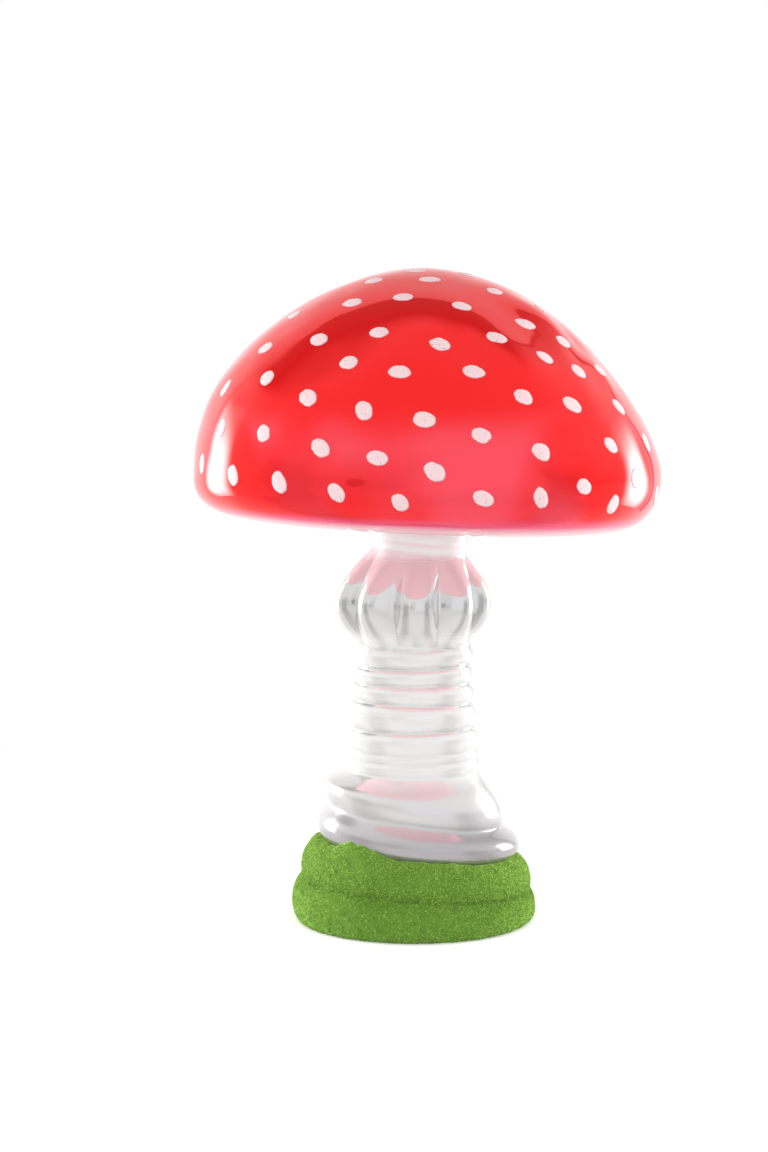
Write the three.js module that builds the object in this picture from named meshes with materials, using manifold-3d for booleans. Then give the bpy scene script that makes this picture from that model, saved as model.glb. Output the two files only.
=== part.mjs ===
// Silvered glass mushroom: a blown red cap, cemented on a hand-worked silver stem with a moss-coated foot.
// Millimetres, +Z up. The origin is on the resting plane, under the middle of the cap's rim.
// The front looks along -Y, and +X is to its right.
import * as THREE from 'three';
import { mergeVertices } from 'three/addons/utils/BufferGeometryUtils.js';
import Module from 'manifold-3d';

const wasm = await Module();
wasm.setup();

// Clearances between pieces that are cemented, coated or stopped up, and under the dots
const FIT_GAP = 0.3;
const DOT_GAP = 0.15;

// Blown walls
const STEM_WALL = 1.3;
const CAP_WALL = 1.3;

// Foot, its blow hole and the cork stopper
const FOOT_FLAT_RADIUS = 26.2;
const BLOW_HOLE_RADIUS = 6.5;
const BLOW_HOLE_LIP = 3.5;
const PLUG_LENGTH = 7;
const PLUG_CHAMFER = 0.6;
const PLUG_TAPER = 0.4;

// Moss coat over the foot rolls. Its upper edge wanders about a turn round the upper one, in degrees
const MOSS_COAT = 0.8;
const MOSS_HOLE_RADIUS = 20;
const MOSS_EDGE_TURN = 155;
const MOSS_EDGE_WAVES = [
  { count: 2, swing: 3, start: 60 },
  { count: 5, swing: 2, start: 0 },
];

// Rolls worked into the stem, from the foot up. Each swells over rise from the groove below it to its crest,
// and falls over fall to the groove above. It leans by tilt degrees, left side up, about an axis at sway.
const FOOT_ROLLS = [
  { rise: 3.1, crest: 29.0, fall: 5.6, groove: 26.5, tilt: 2.1, sway: -3.1 },
  { rise: 3.2, crest: 27.1, fall: 5.2, groove: 22.5, tilt: 4.3, sway: -2.5 },
];
const SILVER_ROLLS = [
  { rise: 3.4, crest: 24.8, fall: 5.4, groove: 21.0, tilt: 5.8, sway: -1.9 },
  { rise: 3.1, crest: 22.1, fall: 7.9, groove: 16.4, tilt: 9.0, sway: -3.1 },
];
// Shares of the fall over which the silver rolls' sloping shoulders keep upright and keep their slope
const SLOPE_KEEPS = { shoulder: 0.5, neck: 0.4 };
const TUBE_RINGS = [
  { rise: 1.5, crest: 17.0, fall: 1.5, groove: 16.0, tilt: 0.0, sway: -3.3 },
  { rise: 1.0, crest: 16.7, fall: 1.1, groove: 15.8, tilt: 0.0, sway: -3.3 },
  { rise: 2.7, crest: 16.5, fall: 2.6, groove: 15.4, tilt: -1.5, sway: -3.3 },
  { rise: 3.3, crest: 16.2, fall: 3.3, groove: 14.9, tilt: 0.5, sway: -3.4 },
  { rise: 2.3, crest: 15.6, fall: 2.3, groove: 14.3, tilt: 2.0, sway: -3.4 },
  { rise: 2.1, crest: 15.1, fall: 2.1, groove: 14.1, tilt: -1.0, sway: -3.4 },
  { rise: 2.2, crest: 15.1, fall: 2.3, groove: 13.9, tilt: -1.0, sway: -3.1 },
];

// Neck, its two rings and the seat round the spigot
const NECK_RADIUS = 11.4;
const NECK_RING_SWELL = 0.6;
const NECK_SWAY = -1.6;
const NECK_CREST = NECK_RADIUS + NECK_RING_SWELL;
const NECK_RINGS = [
  { rise: 0.9, crest: NECK_CREST, fall: 1.2, groove: NECK_RADIUS, tilt: 6.5, sway: NECK_SWAY },
  { rise: 1.1, crest: NECK_CREST, fall: 1.9, groove: NECK_RADIUS, tilt: 5.5, sway: NECK_SWAY },
];
const SEAT_WIDTH = 2.2;
const SPIGOT_LENGTH = 8;

// Knop between the tube and the neck, pinched into lobes
const KNOP = { rise: 10.5, crest: 19.3, fall: 13.2, groove: NECK_RADIUS, tilt: 0.0, sway: -3.5 };
// Shares of the rise or fall over which an outline keeps the direction that it has at each place
const KNOP_KEEPS = { foot: 0.12, belly: 0.45, shoulder: 0.42, neck: 0.2 };
const LOBE_COUNT = 9;
const LOBE_DEPTH = 3.2;
const LOBE_FRONT_ANGLE = 3;
// Shares of the rise, from the tube, and of the fall, from the crest, over which the lobes fade
const LOBE_FADES = { rise: 0.25, fall: 0.85 };

// Cement between the seat and the cap, and the cap's collar for the spigot
const CEMENT_BEAD = 1.2;
const CEMENT_BULGE = 0.4;
const COLLAR_LENGTH = 6.5;
const COLLAR_FILLET = 1;

// Cap: a dome over a rolled rim. A power of 2 draws an ellipse, less draws its shoulder in
const CAP_RADIUS = 56.8;
const DOME_HEIGHT = 51;
const DOME_POWER = 1.78;
const RIM_HEIGHT = 10.8;
const RIM_WIDTH = 13;
const RIM_POWER = 2.3;
const UNDERSIDE_HOLLOW = 0.3;
const CAP_TILT = 2.35;
// Share of the dome's height, and how far its axis sways there
const DOME_SWAY = [[0, 0], [0.5, -2.1], [1, -1.3]];

// White dots dabbed on the cap
const DOT_LENGTH = 5.1;
const DOT_WIDTH = 3.8;
const DOT_HEIGHT = 0.5;
const DOT_SUNK = 0.7;
// Edge of the dot's nearly flat top, as shares of its half-width and its height
const DOT_SHOULDER = { out: 0.72, up: 0.75 };
// Rows round the front, from the rim up. Each dot has its longitude from the front in degrees, its way down
// from the crown to the underside in hundredths, and the turn of its long axis in degrees.
const DOT_ROWS = [
  [[-71, 77, 80], [-53, 79, 60], [-37, 80, 60], [-22, 82, 50], [-7, 84, 50]],
  [[12, 83, 25], [26, 83, 65], [38, 81, 20], [49, 85, 110], [58, 80, 70], [75, 84, 60]],
  [[-61, 68, 60], [-43, 69, 45], [-26, 72, 40], [-12, 74, 15], [1, 77, 35]],
  [[-69, 58, 110], [-48, 55, 40], [-31, 60, 35], [-15, 63, 60], [0, 65, 15]],
  [[13, 69, 20], [27, 73, 30], [50, 72, 30], [71, 72, 70]],
  [[-61, 46, 0], [-37, 43, 20], [-22, 50, 20], [-6, 53, 5]],
  [[15, 53, 15], [27, 60, 20], [42, 62, 25], [63, 63, 50]],
  [[-70, 34, 0], [-36, 29, 5], [-15, 41, 10], [6, 45, 20]],
  [[26, 43, 30], [41, 49, 30], [53, 53, 20], [67, 53, 20]],
  [[-43, 17, 0], [-10, 27, 5], [18, 31, 5], [45, 37, 20], [57, 44, 20]],
  [[-10, 8, 0], [6, 16, 0], [65, 12, 0], [50, 23, 5], [69, 32, 0]],
];
// Dots that close the pattern round the sides, between the front and the like pattern behind
const SIDE_DOTS = [[92, 77, 40], [91, 62, 30], [92, 45, 20], [-88, 86, 60], [-88, 69, 50], [-90, 53, 20]];

// Facets, and the distance under which corners are one
const WELD_DISTANCE = 1e-3;
const STEM_SEGMENTS = 36;
const CAP_SEGMENTS = 36;
const SMALL_SEGMENTS = 16;
const DOT_SEGMENTS = 8;
const RAISED_DOT_SEGMENTS = 6;
const ROLL_STEPS = 6;
const SLOPE_STEPS = 3;
const RING_STEPS = 3;
const KNOP_STEPS = 4;
const DOME_STEPS = 12;
const RIM_STEPS = 5;
const INSIDE_DOME_STEPS = 6;
const INSIDE_RIM_STEPS = 2;

const SILVERED_GLASS = new THREE.MeshStandardMaterial({ color: '#d9dade', roughness: 0.05, metalness: 1 });
const RED_GLASS = new THREE.MeshStandardMaterial({ color: '#e8202a', roughness: 0.06, metalness: 0.9 });
const MOSS_FLOCK = new THREE.MeshStandardMaterial({ color: '#5f9a2c', roughness: 1, metalness: 0 });
const WHITE_PAINT = new THREE.MeshStandardMaterial({ color: '#f6dfe2', roughness: 0.8, metalness: 0 });
const CEMENT = new THREE.MeshStandardMaterial({ color: '#e9e4d8', roughness: 0.3, metalness: 0 });
const CORK = new THREE.MeshStandardMaterial({ color: '#b48a5a', roughness: 0.9, metalness: 0 });

const { clamp, degToRad, smoothstep } = THREE.MathUtils;
const slope = (degrees) => Math.tan(degToRad(degrees));
const vec2 = (radius, height) => new THREE.Vector2(radius, height);

// Value at a place between the knots of a list of [place, value], easing in and out of each knot
function easeBetween(knots, place) {
  const next = knots.findIndex(([knot]) => knot >= place);
  if (next === 0) return knots[0][1];
  if (next < 0) return knots.at(-1)[1];
  const [low, from] = knots[next - 1];
  const [high, to] = knots[next];
  return from + (to - from) * smoothstep(place, low, high);
}

// Closed geometry with its shared vertices merged and its collapsed faces taken out
function weld(geometry) {
  geometry.deleteAttribute('normal');
  geometry.deleteAttribute('uv');
  const welded = mergeVertices(geometry, WELD_DISTANCE);
  const faces = [];
  for (let i = 0; i < welded.index.count; i += 3) {
    const corners = [0, 1, 2].map((corner) => welded.index.getX(i + corner));
    if (new Set(corners).size === 3) faces.push(...corners);
  }
  return welded.setIndex(faces);
}

// Solid of revolution about Z, whose profile may change with the angle round from the front
function revolve(profileAt, segments, move, start = 0) {
  const rows = profileAt(start).length;
  const geometry = new THREE.LatheGeometry(profileAt(start), segments, start);
  const position = geometry.attributes.position;
  const point = new THREE.Vector3();
  for (let column = 0; column <= segments; column += 1) {
    const angle = start + (2 * Math.PI * (column % segments)) / segments;
    profileAt(angle).forEach(({ x: radius, y: height }, row) => {
      point.set(radius * Math.sin(angle), -radius * Math.cos(angle), height);
      move(point, radius);
      position.setXYZ(column * rows + row, point.x, point.y, point.z);
    });
  }
  return weld(geometry);
}

// Rolls with their crests and grooves set at heights, one on top of the other
function stack(rolls, bottom) {
  let height = bottom;
  return rolls.map((roll) => {
    const crestZ = height + roll.rise;
    height = crestZ + roll.fall;
    return { ...roll, crestZ, grooveZ: height };
  });
}

const FOOT_Z = MOSS_COAT + FIT_GAP;
const footRolls = stack(FOOT_ROLLS, FOOT_Z);
const silverRolls = stack(SILVER_ROLLS, footRolls.at(-1).grooveZ);
const tubeRings = stack(TUBE_RINGS, silverRolls.at(-1).grooveZ);
const [knop] = stack([KNOP], tubeRings.at(-1).grooveZ);
const neckRings = stack(NECK_RINGS, knop.grooveZ);
const SEAT_Z = neckRings.at(-1).grooveZ;
const SPIGOT_RADIUS = NECK_RADIUS - SEAT_WIDTH;

const stemLevels = [...footRolls, ...silverRolls, ...tubeRings, knop, ...neckRings];
const stemTilt = [[0, 0], ...stemLevels.map(({ crestZ, tilt }) => [crestZ, tilt]), [SEAT_Z, CAP_TILT]];
const stemSway = stemLevels.map(({ crestZ, sway }) => [crestZ, sway]);

// The glass leaned as it was worked: each level tilts about its own centre, which sways sideways
function leanStem(point) {
  const level = point.z;
  point.z -= slope(easeBetween(stemTilt, level)) * point.x;
  point.x += easeBetween(stemSway, level);
}

// Outline of a stack of rolls, each a half turn of an ellipse from groove to groove, after the groove below
function rollOutline(rolls, below, steps, lastTurn = 180) {
  let groove = below;
  return rolls.flatMap((roll) => {
    const from = groove;
    groove = vec2(roll.groove, roll.grooveZ);
    const end = roll === rolls.at(-1) ? lastTurn : 180;
    return Array.from({ length: steps }, (unused, step) => {
      const turn = degToRad((end * (step + 1)) / steps);
      const rising = turn <= Math.PI / 2;
      const base = rising ? from.x : groove.x;
      const reach = rising ? roll.crestZ - from.y : groove.y - roll.crestZ;
      return vec2(base + (roll.crest - base) * Math.sin(turn), roll.crestZ - reach * Math.cos(turn));
    });
  });
}

// Curve from a roll's crest to the groove above it, which it meets along its own slope
function shoulder(roll, keeps) {
  const crest = vec2(roll.crest, roll.crestZ);
  const groove = vec2(roll.groove, roll.grooveZ);
  const upright = vec2(roll.crest, roll.crestZ + roll.fall * keeps.shoulder);
  return new THREE.CubicBezierCurve(crest, upright, groove.clone().lerp(crest, keeps.neck), groove);
}

// Outline of rolls with a round belly below and a sloping shoulder above, after the groove below them
function slopingOutline(rolls, below, steps) {
  return rolls.flatMap((roll, i) => [
    ...rollOutline([roll], i === 0 ? below : vec2(rolls[i - 1].groove, rolls[i - 1].grooveZ), steps, 90),
    ...shoulder(roll, SLOPE_KEEPS).getPoints(steps).slice(1),
  ]);
}

// Outline of the knop: full in the middle, drawn in to the tube below and to the neck above
const tubeTop = vec2(tubeRings.at(-1).groove, tubeRings.at(-1).grooveZ);
const knopCrest = vec2(knop.crest, knop.crestZ);
const neckFoot = vec2(knop.groove, knop.grooveZ);
const lowerKnop = new THREE.CubicBezierCurve(
  tubeTop,
  vec2(tubeTop.x, tubeTop.y + knop.rise * KNOP_KEEPS.foot),
  vec2(knopCrest.x, knopCrest.y - knop.rise * KNOP_KEEPS.belly),
  knopCrest,
);
const knopOutline = [lowerKnop, shoulder(knop, KNOP_KEEPS)].flatMap((curve) => curve.getPoints(KNOP_STEPS).slice(1));

// Depth of the pinched valleys between the lobes of the knop, fading into the neck and the tube
function lobeValley(angle, z) {
  const wave = Math.abs(Math.cos((LOBE_COUNT / 2) * (angle - degToRad(LOBE_FRONT_ANGLE))));
  const below = smoothstep(z, tubeTop.y, tubeTop.y + knop.rise * LOBE_FADES.rise);
  const above = 1 - smoothstep(z, knop.crestZ, knop.crestZ + knop.fall * LOBE_FADES.fall);
  return LOBE_DEPTH * (1 - wave) * Math.min(below, above);
}

// Inside of the stem, one wall in from the outside, from the spigot down to the floor of the foot
function stemBore() {
  const inside = [
    vec2(FOOT_FLAT_RADIUS, FOOT_Z + STEM_WALL),
    ...[...footRolls, ...silverRolls].flatMap(({ crest, crestZ, groove, grooveZ }) => [
      vec2(crest, crestZ),
      vec2(groove, grooveZ),
    ]),
    tubeTop,
    ...knopOutline,
    vec2(NECK_RADIUS, SEAT_Z - STEM_WALL),
    vec2(SPIGOT_RADIUS, SEAT_Z),
    vec2(SPIGOT_RADIUS, SEAT_Z + SPIGOT_LENGTH),
  ];
  return inside.map(({ x, y }) => vec2(x - STEM_WALL, y)).reverse();
}

// Silver stem: foot with its blow hole, rolls, ringed tube, lobed knop, neck and spigot in one blown wall
function stemGeometry() {
  const flat = vec2(FOOT_FLAT_RADIUS, FOOT_Z);
  const footTop = vec2(footRolls.at(-1).groove, footRolls.at(-1).grooveZ);
  const silverTop = vec2(silverRolls.at(-1).groove, silverRolls.at(-1).grooveZ);
  const lipRadius = BLOW_HOLE_RADIUS + STEM_WALL;
  const lipTop = FOOT_Z + STEM_WALL + BLOW_HOLE_LIP;
  const profile = [
    vec2(BLOW_HOLE_RADIUS, FOOT_Z),
    flat,
    ...rollOutline(footRolls, flat, ROLL_STEPS),
    ...slopingOutline(silverRolls, footTop, SLOPE_STEPS),
    ...rollOutline(tubeRings, silverTop, RING_STEPS),
    ...knopOutline,
    ...rollOutline(neckRings, neckFoot, RING_STEPS),
    vec2(SPIGOT_RADIUS, SEAT_Z),
    vec2(SPIGOT_RADIUS, SEAT_Z + SPIGOT_LENGTH),
    ...stemBore(),
    vec2(lipRadius, FOOT_Z + STEM_WALL),
    vec2(lipRadius, lipTop),
    vec2(BLOW_HOLE_RADIUS, lipTop),
    vec2(BLOW_HOLE_RADIUS, FOOT_Z),
  ];
  const profileAt = (angle) => profile.map(({ x, y }) => vec2(x - lobeValley(angle, y), y));
  return revolve(profileAt, STEM_SEGMENTS, leanStem, degToRad(LOBE_FRONT_ANGLE));
}

// One face of the moss coat, grown out from the glass, from the flat foot to the edge below the silver rolls
function mossFace(growth, angle) {
  const flat = vec2(FOOT_FLAT_RADIUS + growth, FOOT_Z - growth);
  const [lower, upper] = footRolls.map((roll) => ({ ...roll, crest: roll.crest + growth }));
  lower.groove += growth;
  upper.grooveZ += growth;
  const edgeTurn = MOSS_EDGE_WAVES.reduce((turn, { count, swing, start }) => (
    turn + swing * Math.sin(count * angle + degToRad(start))
  ), MOSS_EDGE_TURN);
  return [flat, ...rollOutline([lower, upper], flat, ROLL_STEPS, edgeTurn)];
}

// Moss coat: a shell over the foot rolls, turned in under the foot
function mossGeometry() {
  const profileAt = (angle) => [
    vec2(MOSS_HOLE_RADIUS, 0),
    ...mossFace(FIT_GAP + MOSS_COAT, angle),
    ...mossFace(FIT_GAP, angle).reverse(),
    vec2(MOSS_HOLE_RADIUS, MOSS_COAT),
    vec2(MOSS_HOLE_RADIUS, 0),
  ];
  return revolve(profileAt, STEM_SEGMENTS, leanStem, degToRad(LOBE_FRONT_ANGLE));
}

// Cork stopper in the blow hole
function plugGeometry() {
  const radius = BLOW_HOLE_RADIUS - FIT_GAP;
  const bottom = FOOT_Z + PLUG_CHAMFER;
  const top = bottom + PLUG_LENGTH;
  const profile = [
    vec2(0, bottom),
    vec2(radius - PLUG_CHAMFER, bottom),
    vec2(radius, bottom + PLUG_CHAMFER),
    vec2(radius - PLUG_TAPER, top - PLUG_CHAMFER),
    vec2(radius - PLUG_TAPER - PLUG_CHAMFER, top),
    vec2(0, top),
  ];
  return revolve(() => profile, SMALL_SEGMENTS, leanStem);
}

// Bead of cement that closes the joint between the seat and the cap's underside
function cementGeometry() {
  const inner = SPIGOT_RADIUS + FIT_GAP;
  const bottom = SEAT_Z + FIT_GAP;
  const profile = [
    vec2(inner, bottom),
    vec2(NECK_RADIUS, bottom),
    vec2(NECK_RADIUS + CEMENT_BULGE, bottom + CEMENT_BEAD / 2),
    vec2(NECK_RADIUS, bottom + CEMENT_BEAD),
    vec2(inner, bottom + CEMENT_BEAD),
    vec2(inner, bottom),
  ];
  return revolve(() => profile, SMALL_SEGMENTS, leanStem);
}

// Cap levels, worked up from the seat
const UNDERSIDE_Z = SEAT_Z + CEMENT_BEAD + 2 * FIT_GAP;
const WIDEST_Z = UNDERSIDE_Z - UNDERSIDE_HOLLOW + RIM_HEIGHT;
const COLLAR_BORE = SPIGOT_RADIUS + FIT_GAP;

// The cap sits tilted on the neck, and its dome sways over its rim
function leanCap(point, radius) {
  const domeShare = (point.z - WIDEST_Z) / DOME_HEIGHT;
  const neckShare = 1 - (radius / CAP_RADIUS) ** 2;
  const tiltShare = clamp((WIDEST_Z - point.z) / RIM_HEIGHT, 0, 1);
  point.z -= slope(CAP_TILT) * tiltShare * point.x;
  point.x += domeShare >= 0 ? easeBetween(DOME_SWAY, domeShare) : NECK_SWAY * neckShare;
}

// Part of a squared or drawn-in ellipse, as shares of its two half-widths, for a turn of up to 90 degrees
function ovalShare(share, power) {
  const turn = (Math.PI / 2) * share;
  const bend = (value) => Math.max(0, value) ** (2 / power);
  return [bend(Math.sin(turn)), bend(Math.cos(turn))];
}

// Dome and rim from the crown down to the underside, or their inside when inset by the wall
function capOutline(inset, domeSteps, rimSteps) {
  const rimMiddle = CAP_RADIUS - RIM_WIDTH;
  const dome = Array.from({ length: domeSteps + 1 }, (unused, step) => {
    const [out, up] = ovalShare(step / domeSteps, DOME_POWER);
    return vec2((CAP_RADIUS - inset) * out, WIDEST_Z + (DOME_HEIGHT - inset) * up);
  });
  const rim = Array.from({ length: rimSteps }, (unused, step) => {
    const [down, out] = ovalShare((step + 1) / rimSteps, RIM_POWER);
    return vec2(rimMiddle + (RIM_WIDTH - inset) * out, WIDEST_Z - (RIM_HEIGHT - inset) * down);
  });
  return [...dome, ...rim];
}

// Red cap: dome, rolled rim and underside in one blown wall, turned in at a collar round the spigot
function capGeometry() {
  const collarTop = UNDERSIDE_Z + COLLAR_LENGTH;
  const profile = [
    ...capOutline(CAP_WALL, INSIDE_DOME_STEPS, INSIDE_RIM_STEPS),
    vec2(COLLAR_BORE + CAP_WALL, UNDERSIDE_Z + CAP_WALL),
    vec2(COLLAR_BORE + CAP_WALL, collarTop),
    vec2(COLLAR_BORE, collarTop),
    vec2(COLLAR_BORE, UNDERSIDE_Z + COLLAR_FILLET),
    vec2(COLLAR_BORE + COLLAR_FILLET, UNDERSIDE_Z),
    ...capOutline(0, DOME_STEPS, RIM_STEPS).reverse(),
  ];
  return revolve(() => profile, CAP_SEGMENTS, leanCap);
}

// Point on the outside of the cap, at a longitude from the front and a share of the way down from the crown
const capCurve = new THREE.SplineCurve(capOutline(0, DOME_STEPS, RIM_STEPS));
function capPoint(longitude, hundredths) {
  const { x: radius, y: z } = capCurve.getPointAt(hundredths / 100);
  const angle = degToRad(longitude);
  const point = new THREE.Vector3(radius * Math.sin(angle), -radius * Math.cos(angle), z);
  leanCap(point, radius);
  return point;
}

// Frame of a dot on the cap: its long axis turned down from the east, its height along the normal
function dotFrame([longitude, hundredths, turn], lift) {
  const here = capPoint(longitude, hundredths);
  const east = capPoint(longitude + 1, hundredths).sub(here).normalize();
  const down = capPoint(longitude, hundredths + 1).sub(here).normalize();
  const normal = new THREE.Vector3().crossVectors(down, east).normalize();
  const across = new THREE.Vector3().crossVectors(normal, east).normalize();
  east.crossVectors(across, normal);
  const frame = new THREE.Matrix4().makeBasis(east, across, normal);
  frame.multiply(new THREE.Matrix4().makeRotationZ(-degToRad(turn)));
  return frame.setPosition(here.addScaledVector(normal, lift));
}

// Dab of white paint: an oval lens with a flat underside at the given depth
function dotGeometry(depth, segments) {
  const shoulder = vec2(DOT_SHOULDER.out, DOT_HEIGHT * DOT_SHOULDER.up);
  const profile = [vec2(0, -depth), vec2(1, -depth), shoulder, vec2(0, DOT_HEIGHT)];
  const geometry = revolve(() => profile, segments, () => {});
  return geometry.scale(DOT_LENGTH / 2, DOT_WIDTH / 2, 1);
}

function toSolid(geometry) {
  const vertProperties = new Float32Array(geometry.attributes.position.array);
  const triVerts = new Uint32Array(geometry.index.array);
  return new wasm.Manifold(new wasm.Mesh({ numProp: 3, vertProperties, triVerts }));
}

function toGeometry(solid) {
  const { vertProperties, triVerts } = solid.getMesh();
  const geometry = new THREE.BufferGeometry();
  geometry.setAttribute('position', new THREE.BufferAttribute(vertProperties, 3));
  return geometry.setIndex(new THREE.BufferAttribute(triVerts, 1));
}

const frontDots = DOT_ROWS.flat();
const backDots = [...frontDots.map(([longitude, ...rest]) => [longitude + 180, ...rest]), ...SIDE_DOTS];

// Cap with the dots of its back and sides raised from the same wall
function dottedCapGeometry() {
  const raised = (dot) => dotGeometry(DOT_SUNK, RAISED_DOT_SEGMENTS).applyMatrix4(dotFrame(dot, 0));
  return toGeometry(backDots.reduce((cap, dot) => cap.add(toSolid(raised(dot))), toSolid(capGeometry())));
}

const mushroom = new THREE.Group();

function addPiece(name, geometry, material) {
  const piece = new THREE.Mesh(geometry, material);
  piece.name = name;
  mushroom.add(piece);
  return piece;
}

addPiece('stem_glass', stemGeometry(), SILVERED_GLASS);
addPiece('cap_glass', dottedCapGeometry(), RED_GLASS);
addPiece('neck_cement', cementGeometry(), CEMENT);
addPiece('moss_coat', mossGeometry(), MOSS_FLOCK);
addPiece('blow_hole_plug', plugGeometry(), CORK);
frontDots.forEach((dot, index) => {
  const name = `cap_dot_${String(index + 1).padStart(2, '0')}`;
  addPiece(name, dotGeometry(0, DOT_SEGMENTS), WHITE_PAINT).applyMatrix4(dotFrame(dot, DOT_GAP));
});

export default mushroom;
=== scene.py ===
"""Silvered glass mushroom: a red dotted cap on a ringed silver stem with a lobed knop and a mossy foot."""

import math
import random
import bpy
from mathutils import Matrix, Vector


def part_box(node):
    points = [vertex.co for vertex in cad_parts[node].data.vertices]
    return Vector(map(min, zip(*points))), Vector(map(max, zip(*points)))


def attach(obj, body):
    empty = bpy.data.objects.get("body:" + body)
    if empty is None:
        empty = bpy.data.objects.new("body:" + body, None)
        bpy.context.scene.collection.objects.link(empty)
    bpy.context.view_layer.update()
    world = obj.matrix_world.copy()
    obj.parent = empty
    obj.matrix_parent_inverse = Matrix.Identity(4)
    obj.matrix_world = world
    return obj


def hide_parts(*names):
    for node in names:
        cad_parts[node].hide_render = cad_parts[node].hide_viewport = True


bl_info = {
    "name": "Silvered Glass Mushroom",
    "version": (1, 0, 0),
    "blender": (4, 5, 0),
    "location": "View3D > Sidebar > Mushroom",
    "description": "Makes the glass, the dots, the moss coat, the cement and the cork, in a white studio",
    "category": "Add Mesh",
}

from collections import namedtuple
from functools import partial

import bmesh
import bpy
import numpy as np
from bpy.props import FloatProperty, FloatVectorProperty, IntProperty, PointerProperty
from mathutils import Vector, noise
from mathutils.bvhtree import BVHTree

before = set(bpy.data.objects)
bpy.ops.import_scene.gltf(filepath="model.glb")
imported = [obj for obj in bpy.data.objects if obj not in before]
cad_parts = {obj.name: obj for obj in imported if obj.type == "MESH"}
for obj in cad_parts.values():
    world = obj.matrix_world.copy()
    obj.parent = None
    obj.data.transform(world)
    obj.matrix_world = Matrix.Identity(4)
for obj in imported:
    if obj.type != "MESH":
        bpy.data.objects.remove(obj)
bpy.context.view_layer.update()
BODY = "root"
WHITE = (1.0, 1.0, 1.0)


def mm(length):
    """Metres from millimetres"""
    return length * 0.001


def colour(code):
    """Linear colour from an sRGB hex value"""
    channels = [int(code[i : i + 2], 16) / 255 for i in (1, 3, 5)]
    return tuple(c / 12.92 if c <= 0.04045 else ((c + 0.055) / 1.055) ** 2.4 for c in channels)


# Guards: points welded when closer than this, and the least radius and length that anything is divided by
WELD = 1e-7
LEAST_RADIUS = mm(1)
LEAST_LENGTH = 1e-12


def size_in_mm(name, description, length):
    """Property for a length"""
    return FloatProperty(name=name, description=description, default=mm(length), unit="LENGTH")


def hex_colour(name, description, code):
    """Property for a colour"""
    return FloatVectorProperty(name=name, description=description, default=colour(code), subtype="COLOR")


# Shapes that the glass was worked to. Lengths are in millimetres, and tilts in degrees, left side up.
# Each roll swells over rise from the groove below it to its crest, and falls over fall to the groove above.
RollSize = namedtuple("RollSize", "rise crest fall groove tilt sway")
FOOT_ROLLS = (
    RollSize(3.1, 29.0, 5.6, 26.5, 2.1, -3.1),
    RollSize(3.2, 27.1, 5.2, 22.5, 4.3, -2.5),
)
SILVER_ROLLS = (
    RollSize(3.4, 24.8, 5.4, 21.0, 5.8, -1.9),
    RollSize(3.1, 22.1, 7.9, 16.4, 9.0, -3.1),
)
TUBE_RINGS = (
    RollSize(1.5, 17.0, 1.5, 16.0, 0.0, -3.3),
    RollSize(1.0, 16.7, 1.1, 15.8, 0.0, -3.3),
    RollSize(2.7, 16.5, 2.6, 15.0, -1.5, -3.3),
    RollSize(3.3, 16.2, 3.3, 14.5, 0.5, -3.4),
    RollSize(2.3, 15.6, 2.3, 14.0, 2.0, -3.4),
    RollSize(2.1, 15.1, 2.1, 13.6, -1.0, -3.4),
    RollSize(2.2, 15.1, 2.3, 14.2, -1.0, -3.1),
)
NECK_RADIUS = 11.4
NECK_CREST = 12.0
NECK_SWAY = -1.6
KNOP = RollSize(10.5, 19.3, 13.2, NECK_RADIUS, 0.0, -3.5)
NECK_RINGS = (
    RollSize(0.9, NECK_CREST, 1.2, NECK_RADIUS, 6.5, NECK_SWAY),
    RollSize(1.1, NECK_CREST, 1.9, NECK_RADIUS, 5.5, NECK_SWAY),
)
# Shares of a roll's rise or fall over which its outline keeps the direction that it has at each place
KNOP_KEEPS = {"foot": 0.12, "belly": 0.45, "shoulder": 0.42, "neck": 0.2}
SLOPE_KEEPS = {"shoulder": 0.5, "neck": 0.4}
# Degrees from the front to the nearest lobe of the knop
LOBE_FRONT = 3.0

FIT_GAP = 0.3
MOSS_HOLE_RADIUS = 20.0
FOOT_FLAT_RADIUS = 26.2
BLOW_HOLE_RADIUS = 6.5
BLOW_HOLE_LIP = 3.5
CORK_RECESS = 0.6
SEAT_WIDTH = 2.2
SPIGOT_LENGTH = 8.0
CEMENT_BEAD = 1.2
COLLAR_LENGTH = 6.5
CAP_TILT = 2.35
# Share of the dome's height, and how far its axis sways there
DOME_SWAY = ((0.0, 0.5, 1.0), (0.0, -2.1, -1.3))
UNDERSIDE_HOLLOW = 0.3
# Dents left by the blowing: degrees round from the front, height, spread and depth, a bulge where negative
CAP_DENTS = (
    (66, 142, 4, 0.4),
    (66, 135, 4, -0.4),
    (58, 148, 5, -0.6),
    (38, 146, 8, 0.9),
    (30, 138, 7, -0.9),
    (12, 141, 5, 0.45),
    (4, 146, 6, -0.4),
    (-30, 142, 9, 0.45),
    (-46, 136, 7, -0.3),
    (-8, 124, 13, 0.4),
    (26, 121, 11, -0.4),
)
# Dots round the sides: degrees from the front, and hundredths of the way from the crown to the underside
SIDE_DOTS = ((92, 77), (91, 62), (92, 45), (-88, 86), (-88, 69), (-90, 53))


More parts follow.
